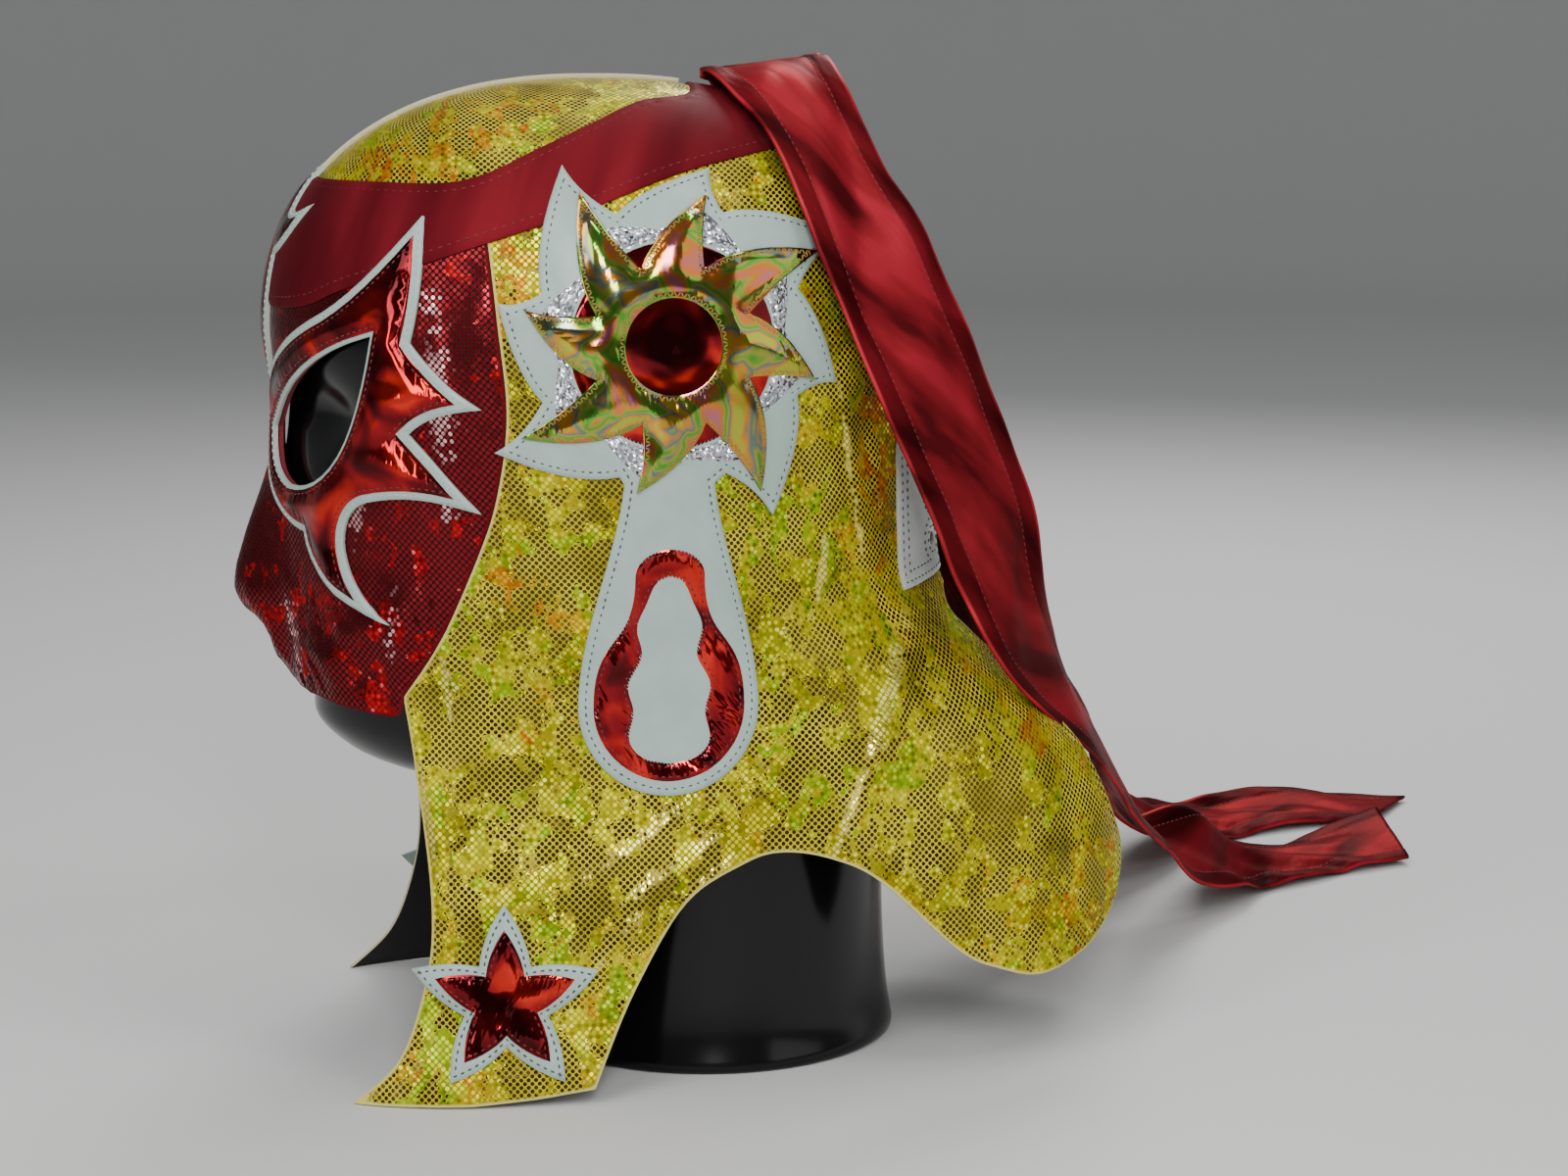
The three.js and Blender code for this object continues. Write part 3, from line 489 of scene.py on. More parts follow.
def level_rows(low, high, spacing):
    """Rows of points round the hood between two heights, as angles and heights."""
    dome = np.interp(np.arange(0, DOME_RADII[-1], spacing), DOME_RADII, DOME_HEIGHTS)
    levels = np.concatenate((dome, np.arange(WIDEST - 0.5 * spacing, HEM_HEIGHT, -spacing)))
    for row, level in enumerate(levels[(levels >= low) & (levels <= high)]):
        at = np.array([level])
        count = max(1, round(2 * float(girth_at(at)[0]) / spacing))
        share = ((np.arange(count) + 0.5 * (row % 2)) / count * 2 + 1) % 2 - 1
        angle = np.sign(share) * np.interp(np.abs(share), shares_at(at)[0], ARC_ANGLES)
        yield angle, np.full(count, level)


def triangulate(loops, free, keep):
    """Triangles between closed outlines and free points, all on the flat map: used points and corners."""
    edges, first = [], 0
    for loop in loops:
        count = len(loop)
        edges += [(first + i, first + (i + 1) % count) for i in range(count)]
        first += count
    points = np.concatenate((*loops, free))
    result = delaunay_2d_cdt([Vector(p) for p in points.tolist()], edges, [], 0, 1e-5)
    points, triangles = np.array([tuple(v) for v in result[0]]), np.array(result[2])
    corners = points[triangles]
    area = np.cross(corners[:, 1] - corners[:, 0], corners[:, 2] - corners[:, 0])
    triangles = triangles[keep(corners.mean(1)) & (np.abs(area) > 1e-6)]
    used, triangles = np.unique(triangles, return_inverse=True)
    return points[used], triangles.reshape(-1, 3)


class Patch:
    """Triangles over the hood inside loops given as angle and height. spacing is the distance between
    points, and insets the distances of extra rows of points inside the edge."""

    def __init__(self, solid, holes=(), spacing=1.6, insets=(0.5, 1.3), creased=False):
        loops = [*solid, *holes]
        flats = [to_map(loop[:, 0], loop[:, 1]) for loop in loops]
        self.solid, self.holes = flats[:len(solid)], flats[len(solid):]
        edges = [form_point(HOOD, loop[:, 0], loop[:, 1]) for loop in loops]
        starts, ends = np.concatenate(edges), np.concatenate([np.roll(p, -1, 0) for p in edges])
        margin = max([spacing * 0.45] + [inset + spacing * 0.35 for inset in insets])
        low = max(starts[:, 2].min() - spacing, HEM_HEIGHT)
        high = min(starts[:, 2].max() + spacing, CROWN)
        rows = list(edge_rows(loops, edges, insets))
        for angle, z in level_rows(low, high, spacing):
            free = ~(creased & on_crease(form_point(HOOD, angle, z)))
            rows.append((angle[free], z[free], margin))
        if creased:
            rows += [(angle * sign, z, margin) for angle, z in crease_points() for sign in (1, -1)]
        angle, z = (np.concatenate([row[k] for row in rows]) for k in (0, 1))
        need = np.repeat([row[2] for row in rows], [len(row[0]) for row in rows])
        flat = to_map(angle, z)
        chosen = self.keep(flat)
        angle, z, need, flat = angle[chosen], z[chosen], need[chosen], flat[chosen]
        clear = segment_distance(form_point(HOOD, angle, z), starts, ends) > need
        flat, self.triangles = triangulate(flats, flat[clear], self.keep)
        self.angle, self.z = from_map(flat)
        self.point = form_point(HOOD, self.angle, self.z)
        self.normal = form_normal(HOOD, self.angle, self.z)
        a, b, c = (self.point[self.triangles[:, k]] for k in range(3))
        outward = (np.cross(b - a, c - a) * self.normal[self.triangles[:, 0]]).sum(1) > 0
        self.triangles[~outward] = self.triangles[~outward][:, ::-1]
        pairs = np.concatenate([self.triangles[:, pair] for pair in ([0, 1], [1, 2], [2, 0])])
        _, index, times = np.unique(np.sort(pairs, 1), axis=0, return_index=True, return_counts=True)
        self.rim = pairs[index[times == 1]]
        self.depth = segment_distance(self.point, self.point[self.rim[:, 0]], self.point[self.rim[:, 1]])
        self.cloth = self.cloth_place()

    def keep(self, flat):
        """Which places of the flat map are on the cloth."""
        found = np.any([inside(flat, loop) for loop in self.solid], axis=0)
        for loop in self.holes:
            found &= ~inside(flat, loop)
        return found

    def bead(self, at, height, width):
        """Rounded rise round the whole edge, at a distance inside it."""
        return height * np.exp(-((self.depth - at) / width) ** 2)

    def area(self):
        """Area in square metres, measured on the cloth."""
        a, b, c = (self.point[self.triangles[:, corner]] * MM for corner in range(3))
        return float(np.linalg.norm(np.cross(b - a, c - a), axis=1).sum() / 2)

    def cloth_place(self):
        """Place on the cloth: length round from the side's middle, and length up."""
        steps = np.linspace(0, 1, 25)[:, None]
        sign = np.where(self.angle < 0, -1, 1)
        angle = sign * math.pi / 2 + (self.angle - sign * math.pi / 2) * steps
        run = np.linalg.norm(np.diff(form_point(HOOD, angle, self.z[None]), axis=0), axis=-1).sum(0)
        u = run * np.sign(np.abs(self.angle) - math.pi / 2)
        v = np.where(self.z >= WIDEST, DOME_RADII[-1] - map_radius(self.z), self.z - WIDEST)
        return np.stack((u, v, self.depth), 1)

    def rim_loops(self):
        after = {int(a): int(b) for a, b in self.rim}
        loops = []
        while after:
            first, loop = next(iter(after)), []
            at = first
            while at in after:
                loop.append(at)
                at = after.pop(at)
            loops.append(np.array(loop))
        return loops


def ripple(points, scale, seed, detail=2):
    shift = Vector((seed, 0, 0))
    return np.array([noise.fractal(Vector(p) * scale + shift, 1.0, 2.0, detail) for p in points.tolist()])


# Creases of the worn cloth, as side view lines from end to end: the front flank's width, the height, and
# how strongly the foil dots on that flank are painted white, a painted highlight
CREASES = [
    ((63, 148), (32, 68), 4.6, 1.9, 1.0), ((70, 142), (42, 76), 3.6, -0.8, 0),
    ((56, 107), (45, 85), 2.8, 0.9, 0.9), ((21, 147), (13, 126), 3.0, 1.1, 0.9),
    ((32, 168), (29, 144), 3.0, 1.1, 1.0), ((-7, 92), (-47, 63), 3.4, 1.15, 1.0),
    ((-1, 80), (-35, 57), 3.2, 1.1, 1.0), ((4, 74), (-18, 57), 2.6, 0.9, 0.9),
    ((-6, 66), (-30, 42), 3.6, -0.8, 0), ((-92, 102), (-86, 62), 3.2, 1.0, 1.0),
    ((-85, 140), (-82, 110), 2.8, 0.9, 0.9), ((-89, 138), (-79, 122), 2.6, 0.8, 0.8),
    ((-82, 140), (-50, 84), 5.0, -1.1, 0), ((-72, 146), (-40, 92), 5.0, 0.7, 0),
    ((34, 222), (46, 150), 3.2, 1.0, 0.9), ((46, 196), (52, 162), 2.6, 0.8, 0.8),
    ((92, 112), (104, 56), 7.0, 0.9, 0), ((76, 96), (60, 50), 5.0, 0.9, 0),
    ((-88, 40), (-66, 12), 4.0, 0.9, 0), ((84, 80), (96, 50), 3.6, 0.8, 0),
    ((-26, 58), (-50, 28), 3.4, 0.9, 0.7), ((58, 73), (51, 61), 2.6, 0.7, 1.0),
    ((-84, 246), (-78, 172), 9.0, 1.6, 0.92), ((-104, 196), (-108, 160), 7.0, 1.3, 0.85),
    ((-96, 158), (-100, 122), 5.0, 1.1, 0.5), ((-131, 148), (-124, 116), 4.0, 1.1, 0.7),
]
CREASE_ROWS = (-1.5, -0.75, 0.0, 0.5, 1.0)
CREASE_STEP = 1.6
CREST_SHARPNESS = 14


def crease_frame(start, end, y, z):
    """Share of the way along a crease, and the distance in front of it."""
    along = np.array(end, float) - start
    length = np.hypot(*along)
    y, z = y - start[0], z - start[1]
    return (y * along[0] + z * along[1]) / length ** 2, (y * along[1] - z * along[0]) / length


def fading(share, power):
    """1 over a crease's middle, down to 0 at both ends."""
    return np.clip(np.sin(np.clip(share, 0, 1) * math.pi), 0, 1) ** power


def crease_points():
    """Rows of points along every crease: both feet, the crest and between."""
    for start, end, width, *_ in CREASES:
        along = np.array(end, float) - start
        length = np.hypot(*along)
        count = int(length / CREASE_STEP)
        share = (np.arange(count) + 0.5) / count
        for row in CREASE_ROWS:
            y = start[0] + along[0] * share + along[1] / length * row * width
            z = start[1] + along[1] * share - along[0] / length * row * width
            yield on_side(y, z), z


def on_crease(point):
    out = np.zeros(len(point), bool)
    for start, end, width, *_ in CREASES:
        share, ahead = crease_frame(start, end, point[:, 1], point[:, 2])
        out |= (share > 0) & (share < 1) & (ahead > -1.8 * width) & (ahead < 1.3 * width)
    return out & (np.abs(point[:, 0]) > 20)


def smooth_step(low, high, value):
    t = np.clip((value - low) / (high - low), 0, 1)
    return t * t * (3 - 2 * t)


def crease_highlight_paint(points):
    """1 where a crease's foil dots are painted white, a painted highlight, broken up along the crease."""
    out = np.zeros(len(points))
    for start, end, width, _, bright in CREASES:
        share, ahead = crease_frame(start, end, points[:, 1], points[:, 2])
        streak = np.exp(-((ahead / width - 0.45) / 0.42) ** 2)
        out = np.maximum(out, bright * fading(share, 0.4) * streak)
    broken = 0.45 + 0.55 * smooth_step(-0.3, 0.1, ripple(points, 0.06, 21.0))
    return out * broken * (np.abs(points[:, 0]) > 12)


def crease(points):
    """Height of the cloth's folds above the smooth hood, the same for every layer."""
    y, z = points[:, 1], points[:, 2]
    out = np.zeros(len(points))
    for start, end, width, height, _ in CREASES:
        share, ahead = crease_frame(start, end, y, z)
        flank = np.where(ahead > 0, ahead / width, -ahead / (1.5 * width))
        ridge = np.minimum(1.02 - np.sqrt(flank ** 2 + 0.0004), 2)
        out += height * fading(share, 0.8) * np.log1p(np.exp(ridge * CREST_SHARPNESS)) / CREST_SHARPNESS
    loose = np.clip((165 - z) / 60, 0, 1)
    out += (0.35 + 0.85 * loose) * ripple(points, 0.022, 3.0)
    out += (0.10 + 0.32 * loose) * ripple(points * (1.0, 1.0, 0.45), 0.075, 8.0)
    mouth = np.exp(-((z - 132) / 18) ** 2) * np.clip((-90 - y) / 15, 0, 1)
    out += 2.4 * mouth * ripple(points * (1.0, 1.0, 0.7), 0.075, 11.0, 3)
    return out * np.clip((CROWN + 4 - z) / 20, 0, 1)


# ---------------------------------------------------------------- meshes
MIRROR = np.array([-1.0, 1.0, 1.0])
LABELS = {"l": "left_", "r": "right_", "m": ""}
FLIPPED = [0, 3, 2, 1]


def grid_faces(rows, columns, closed):
    """Faces between the neighbours of a grid of points, whose columns may close into a ring."""
    row, column = np.mgrid[:rows - 1, :columns if closed else columns - 1].reshape(2, -1)
    a, b = row * columns + column, row * columns + (column + 1) % columns
    return np.stack((a, b, b + columns, a + columns), 1)


def tube_faces(rings, sides):
    """Faces of a tube of rings, with a cap at both ends."""
    ring = np.arange(sides)
    caps = [ring[::-1].tolist(), (ring + (rings - 1) * sides).tolist()]
    return grid_faces(rings, sides, True).tolist() + caps


def set_attribute(mesh, name, kind, domain, field, values):
    mesh.attributes.new(name, kind, domain).data.foreach_set(field, values)


def make_mesh(name, verts, faces, materials, cloth=None, parts=None):
    """A smooth mesh. cloth is each point's place on the cloth, and parts each face's material."""
    mesh = bpy.data.meshes.new(name)
    mesh.from_pydata((verts * MM).tolist(), [], [tuple(f) for f in faces])
    for material in materials:
        mesh.materials.append(material)
    if parts is not None:
        mesh.polygons.foreach_set("material_index", np.asarray(parts, np.int32))
    mesh.polygons.foreach_set("use_smooth", np.ones(len(mesh.polygons), bool))
    if cloth is not None:
        set_attribute(mesh, "cloth", "FLOAT_VECTOR", "POINT", "vector", np.asarray(cloth, np.float32).ravel())
    mesh.update()
    piece = bpy.data.objects.new(name, mesh)
    bpy.context.scene.collection.objects.link(piece)
    return piece


def settle(piece, slot, *nodes):
    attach(piece, "root")
    if nodes:
        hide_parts(*nodes)
    return piece


def keep_rim_sharp(mesh, rim, count):
    """The cut edge stays crisp where it meets the two faces."""
    keys = {tuple(sorted(pair)) for pair in np.concatenate((rim, rim + count)).tolist()}
    pairs = np.empty(len(mesh.edges) * 2, np.int32)
    mesh.edges.foreach_get("vertices", pairs)
    sharp = [tuple(sorted(pair)) in keys for pair in pairs.reshape(-1, 2).tolist()]
    set_attribute(mesh, "sharp_edge", "BOOLEAN", "EDGE", "value", sharp)


def sew(name, node, patch, outer, inner, materials, slot, sides="lr"):
    """Pieces with an outer face, a lining and a cut edge, each in place of a solid. outer and inner are
    heights over the hood, and sides says left, right or middle."""
    lift = crease(patch.point)
    verts = np.concatenate([patch.point + patch.normal * (lift + out)[:, None] for out in (outer, inner)])
    verts[:, 2] = np.maximum(verts[:, 2], LOWEST_CLOTH)
    # Painted highlight: how white each crease paints the foil dots, kept as a point attribute
    shine = np.tile(crease_highlight_paint(patch.point), 2).astype(np.float32)
    count, tri, rim = len(lift), patch.triangles, patch.rim
    walls = np.concatenate((np.stack((rim[:, 1], rim[:, 0], rim[:, 0] + count), 1),
                            np.stack((rim[:, 1], rim[:, 0] + count, rim[:, 1] + count), 1)))
    faces = np.concatenate((tri, tri[:, ::-1] + count, walls))
    parts = np.repeat((0, 1, 2), (len(tri), len(tri), len(walls)))
    pieces = []
    for side in sides:
        put, order = (verts * MIRROR, faces[:, ::-1]) if side == "r" else (verts, faces)
        piece = make_mesh(LABELS[side] + name, put, order, materials, np.tile(patch.cloth, (2, 1)), parts)
        set_attribute(piece.data, "shine", "FLOAT", "POINT", "value", shine)
        keep_rim_sharp(piece.data, rim, count)
        pieces.append(settle(piece, slot, LABELS[side] + node))
    return pieces


# ---------------------------------------------------------------- stitches
SHORTEST_LOOP = 8
SHORTEST_LINE = 4


def inset_lines(patch, inset, height, step, where=None):
    """Lines of points on a patch at a distance inside its edge, an even step apart, with normals and
    which of them lie on the patch. Loops too short to carry stitches are left out."""
    out = []
    starts, ends = patch.point[patch.rim[:, 0]], patch.point[patch.rim[:, 1]]
    for loop in patch.rim_loops():
        if len(loop) < SHORTEST_LOOP:
            continue
        point, normal = patch.point[loop], patch.normal[loop]
        before, after = unit(point - np.roll(point, 1, 0)), unit(np.roll(point, -1, 0) - point)
        inward = np.cross(normal, before) + np.cross(normal, after)
        share = 1 + (before * after).sum(1, keepdims=True)
        line = point + inward / np.maximum(share, 0.25) * inset
        clear = segment_distance(line, starts, ends) > inset * 0.93
        if clear.sum() < SHORTEST_LINE:
            continue
        line = even(line[clear], step)
        line[:, 2] = np.clip(line[:, 2], HEM_HEIGHT + 0.3, CROWN - UNDER_CROWN)
        angle = angle_of(line)
        surface = form_point(HOOD, angle, line[:, 2])
        normal = form_normal(HOOD, angle, line[:, 2])
        fine = patch.keep(to_map(angle, line[:, 2])) & (segment_distance(line, starts, ends) > inset * 0.8)
        if where is not None:
            fine &= where(surface)
        out.append((surface + normal * (crease(surface) + height)[:, None], normal, fine))
    return out


RING = [(math.cos(t), math.sin(t)) for t in np.linspace(0, 2 * math.pi, 6, endpoint=False)]
# Rings of one stitch: place along it, share of the radius, and height over the cloth in radii
STITCH_RINGS = [(-1, 0.45, -0.8), (-0.45, 1, 0.15), (0.45, 1, 0.15), (1, 0.45, -0.8)]
STITCH_FACES = tube_faces(len(STITCH_RINGS), len(RING))
LARGEST_PITCH = 4.0


def stitch_mesh(lines, length, radius, slant=0.0):
    """Short thread arcs laid along lines of points: each sinks into the cloth at both ends."""
    verts, faces = [], []
    for line, normal, fine in lines:
        way = np.roll(line, -1, 0) - line
        gap = np.linalg.norm(way, axis=1)
        good = (gap > 1e-6) & (gap < LARGEST_PITCH) & fine & np.roll(fine, -1)
        way = unit(way)
        across = unit(np.cross(normal, way))
        turn = np.where(np.arange(len(way)) % 2 == 0, slant, -slant)[:, None]
        way, across = way * np.cos(turn) + across * np.sin(turn), across * np.cos(turn) - way * np.sin(turn)
        for i in np.flatnonzero(good):
            first = len(verts)
            for along, size, lift in STITCH_RINGS:
                centre = line[i] + way[i] * along * length / 2 + normal[i] * lift * radius
                verts += [centre + (across[i] * c + normal[i] * s) * radius * size for c, s in RING]
            faces += [[first + k for k in face] for face in STITCH_FACES]
    return np.array(verts), faces


def stitch(name, patch, inset, height, material, slot, pitch=2.4, length=1.5, radius=0.28, slant=0.0,
           sides="lr", where=None):
    """Rows of stitches at a distance inside a patch's edge, as pieces of their own."""
    verts, faces = stitch_mesh(inset_lines(patch, inset, height, pitch, where), length, radius, slant)
    for side in sides:
        put, order = (verts * MIRROR, [f[::-1] for f in faces]) if side == "r" else (verts, faces)
        settle(make_mesh(LABELS[side] + name, put, order, [material]), slot)


# ---------------------------------------------------------------- materials
class Shader:
    """A node material built in a few calls."""

    def __init__(self, name, **values):
        self.material = bpy.data.materials.new(name)
        self.material.use_nodes = True
        self.tree = self.material.node_tree
        self.main = self.tree.nodes["Principled BSDF"]
        for key, value in values.items():
            self.set(key.replace("_", " ").title().replace("Ior", "IOR"), value)

    def set(self, socket, value):
        self.put(self.main.inputs[socket], value)

    def put(self, socket, value):
        if isinstance(value, bpy.types.NodeSocket):
            self.tree.links.new(value, socket)
            return
        if isinstance(value, tuple) and len(value) < len(socket.default_value):
            value = (*value, 1)
        socket.default_value = value

    def node(self, kind, *inputs, out=0, **settings):
        """A node's output. Settings with a capital letter are sockets, and the others are properties."""
        made = self.tree.nodes.new("ShaderNode" + kind)
        for key, value in settings.items():
            if key[0].isupper():
                self.put(made.inputs[key.replace("_", " ")], value)
            else:
                setattr(made, key, value)
        for socket, value in zip(made.inputs, inputs):
            self.put(socket, value)
        return made.outputs[out]

    def math(self, operation, *inputs):
        return self.node("Math", *inputs, operation=operation)

    def vector(self, operation, *inputs, out=0):
        return self.node("VectorMath", *inputs, operation=operation, out=out)

    def scaled(self, vector, factor):
        return self.node("VectorMath", vector, operation="SCALE", Scale=factor)

    def weighed(self, vector, weights):
        """One value from a vector's three."""
        return self.vector("DOT_PRODUCT", vector, weights, out=1)

    def total(self, *parts):
        """Sum of values, each times its weight."""
        terms = [self.math("MULTIPLY", value, weight) for value, weight in parts]
        out = terms[0]
        for term in terms[1:]:
            out = self.math("ADD", out, term)
        return out

    def spread(self, value, low, high, start=0.0, end=1.0, **settings):
        """A value's range from low to high laid out from start to end."""
        return self.node("MapRange", value, low, high, start, end, **settings)

    def noise(self, place, scale, detail, out=0, **settings):
        return self.node("TexNoise", Vector=place, Scale=scale, Detail=detail, out=out, **settings)

    def bump(self, strength, distance, height, **settings):
        return self.node("Bump", Strength=strength, Distance=distance, Height=height, **settings)

    def ramp(self, factor, stops):
        made = self.tree.nodes.new("ShaderNodeValToRGB")
        while len(made.color_ramp.elements) < len(stops):
            made.color_ramp.elements.new(0.5)
        for element, (place, colour) in zip(made.color_ramp.elements, stops):
            element.position = place
            element.color = (*colour, 1)
        self.put(made.inputs[0], factor)
        return made.outputs[0]

    def mix(self, factor, a, b):
        made = self.tree.nodes.new("ShaderNodeMix")
        made.data_type = "RGBA"
        for socket, value in ((made.inputs[0], factor), (made.inputs[6], a), (made.inputs[7], b)):
            self.put(socket, value)
        return made.outputs[2]

    def tilted(self, *parts):
        """The surface normal leaned by random vectors, each with its own strength."""
        normal = self.node("NewGeometry", out=1)
        for vector, strength in parts:
            centred = self.vector("SUBTRACT", vector, (0.5, 0.5, 0.5))
            normal = self.vector("ADD", normal, self.scaled(centred, strength))
        return self.vector("NORMALIZE", normal)

    def cloth(self):
        """Millimetres round the cloth, up it, and inside its edge."""
        return self.node("Attribute", attribute_name="cloth", out=1)


DOT_PITCH = 2.2
DOT_EDGE = (0.31, 0.26)
SPARKLING = 0.95
CLOTH_ROUGHNESS = 0.62
CELL_MIDDLE = (0.5, 0.5, 0.0)


def dot_cloth(name, web, dot_dark, flake_glints, sparkle, shine, spread, gloss, edge, fineness):
    """Knitted cloth printed with a lattice of foil dots. Shard-shaped patches of the foil are painted bright
    in colours of their own, a painted reflection of light caught by the holographic foil, while the other
    dots stay dark. spread is how much of the cloth such patches cover, and fineness how small they are."""
    s = Shader(name)
    flat = s.vector("MULTIPLY", s.cloth(), (1.0, 1.0, 0.0))
    cell = s.scaled(flat, 1 / DOT_PITCH)
    distance, number = [], []
    for grid in (cell, s.vector("ADD", cell, CELL_MIDDLE)):
        local = s.vector("SUBTRACT", s.vector("FRACTION", grid), CELL_MIDDLE)
        distance.append(s.vector("LENGTH", local, out=1))
        number.append(s.vector("FLOOR", grid))
    dot = s.spread(s.math("MINIMUM", *distance), *DOT_EDGE, interpolation_type="SMOOTHSTEP")
    first = s.math("LESS_THAN", *distance)
    which = s.mix(first, s.vector("ADD", number[1], (0.3, 0.7, 0.0)), number[0])
    chance, lean = (s.node("TexWhiteNoise", which, noise_dimensions="2D", out=out) for out in (0, 1))
    warp = s.noise(flat, 0.09, 4.0, out=1, Roughness=0.6)
    warped = s.vector("ADD", flat, s.scaled(warp, 16.0))
    splinters = s.node("TexVoronoi", Vector=s.vector("MULTIPLY", warped, (1.0, 0.62, 1.0)), Scale=0.30, out=1)
    plates = s.node("TexVoronoi", Vector=s.vector("MULTIPLY", warped, (1.0, 0.7, 1.0)), Scale=0.16 * fineness,
                    out=1)
    fields = s.node("TexVoronoi", Vector=warped, Scale=0.034, out=1)
    pick = s.weighed(splinters, (0.5, 0.3, 0.2))
    plate = s.weighed(plates, (0.2, 0.5, 0.3))
    field = s.weighed(fields, (0.4, 0.2, 0.4))
    patches = s.total((plate, 0.50), (pick, 0.28), (s.noise(flat, 0.03, 3.0), 0.5))
    # Painted reflection: shard patches where the foil dots are painted bright in their own colours
    painted_lit_patches = s.spread(patches, 0.63 - spread, 0.67 - spread)
    hue = s.ramp(s.total((pick, 0.35), (field, 0.40), (plate, 0.25)), flake_glints)
    # Painted shade: lighter and darker areas at random, standing in for the shade of the cloth's folds
    random_painted_shade = s.spread(s.noise(flat, 0.045, 3.0), 0.34, 0.64, 0.46, 1.10)
    # Painted glints: each lit dot gets a random brightness, and a few dots the sparkle colour
    glint = s.spread(chance, 0.0, 0.9, 0.22, 1.15)
    bright = s.scaled(s.mix(s.math("GREATER_THAN", chance, SPARKLING), hue, sparkle), glint)
    shaded = s.scaled(s.mix(painted_lit_patches, web, s.scaled(hue, 0.40)), random_painted_shade)
    # The outermost millimetre inside the cut takes the edge colour: the frayed edge's own colour, and on the
    # gold cloth, where it is lighter, also a painted edge highlight
    cut_rim = s.spread(s.node("SeparateXYZ", s.cloth(), out=2), 0.5, 1.1, 1.0, 0.0)
    # Painted highlight: the foil dots on one flank of each crease are painted the highlight colour
    crest = s.node("Attribute", attribute_name="shine", out=2)
    crest = s.math("ADD", crest, s.spread(chance, 0.0, 1.0, -0.2, 0.2))
    painted_highlight_mask = s.spread(crest, 0.34, 0.56)
    colour = s.mix(dot, shaded, s.mix(painted_highlight_mask, s.mix(painted_lit_patches, dot_dark, bright), shine))
    s.set("Base Color", s.mix(cut_rim, colour, edge))
    foil_dot = s.math("MULTIPLY", dot, s.math("SUBTRACT", 1.0, cut_rim))
    s.set("Metallic", foil_dot)
    smooth = s.math("MULTIPLY", foil_dot, s.math("SUBTRACT", 1.0, s.math("MULTIPLY", painted_lit_patches, 0.45)))
    rougher = s.math("MULTIPLY", smooth, gloss - CLOTH_ROUGHNESS)
    s.set("Roughness", s.math("ADD", CLOTH_ROUGHNESS, rougher))
    s.set("Specular IOR Level", 0.06)
    height = s.total((dot, 0.08), (s.noise(flat, 1.7, 2.0), 0.10))
    sway = s.noise(flat, 0.10, 2.0, out=1)
    normal = s.tilted((splinters, 0.06), (plates, 0.06), (sway, 0.22), (lean, 0.05))
    s.set("Normal", s.bump(0.4, 0.0004, height, Normal=normal))
    return s.material


# Length along a tail over which its lying part is painted darker, a painted shade
LYING_PART = (380.0, 450.0)


def satin(name, painted_fold_shading, roughness=0.38, metal=0.5, scale=0.075, hem=None):
    """Satin with light and dark streaks painted across it in the lay of its folds, a painted light and shade;
    the same streaks bump its surface a little. hem is where a tail's turned hem starts and ends, and how
    dark it is; the rolled edge beyond the hem is painted lighter, a painted highlight, and a tail is painted
    a deeper red where it lies down, a painted shade."""
    s = Shader(name, roughness=roughness, metallic=metal, specular_ior_level=0.06,
               specular_tint=(0.62, 0.06, 0.08))
    place = s.cloth()
    weave = s.node("TexWave", Vector=place, Scale=1.7, Distortion=0.4, Detail=1.0, bands_direction="X")
    cross = s.node("TexWave", Vector=place, Scale=2.1, Distortion=0.3, Detail=1.0, bands_direction="Y")
    turned = s.node("CombineXYZ", s.weighed(place, (0.92, -0.40, 0.0)), s.weighed(place, (0.11, 0.20, 0.0)))
    streak = s.noise(turned, scale, 3.0, Roughness=0.4, Distortion=0.3)
    # Painted light and shade: the ramp paints the fold streaks lighter and darker
    colour = s.ramp(streak, painted_fold_shading)
    if hem:
        start, end, dark = hem
        across = s.math("ABSOLUTE", s.node("SeparateXYZ", place, out=0))
        # Painted shade: the part of the tail lying down is painted darker
        painted_lying_shade = s.spread(s.node("SeparateXYZ", place, out=1), *LYING_PART, 1.0, 0.55)
        doubled = s.spread(across, start - 0.3, start + 0.5, 1.0, dark)
        # Painted highlight: the rolled edge beyond the hem is painted lighter
        painted_hem_highlight = s.spread(across, end - 0.4, end + 0.2, 1.0, 1.9 / dark)
        colour = s.scaled(colour, s.math("MULTIPLY", painted_lying_shade, s.math("MULTIPLY", doubled, painted_hem_highlight)))
    s.set("Base Color", colour)
    soft = s.bump(0.5, 0.003, streak)
    s.set("Normal", s.bump(0.15, 0.0002, s.total((weave, 0.5), (cross, 0.3)), Normal=soft))
    return s.material


def darker(colour, share):
    return tuple(c * share for c in colour)


def vinyl(name, colour, roughness, coat):
    s = Shader(name, base_color=colour, roughness=roughness, coat_weight=coat, coat_roughness=0.12)
    grain = s.node("TexVoronoi", Vector=s.cloth(), Scale=1.1, feature="DISTANCE_TO_EDGE")
    wave = s.noise(s.cloth(), 0.1, 3.0)
    s.set("Base Color", s.mix(s.spread(wave, 0.3, 0.75), darker(colour, 0.88), colour))
    s.set("Normal", s.bump(0.35, 0.0012, wave, Normal=s.bump(0.12, 0.0003, grain)))
    return s.material


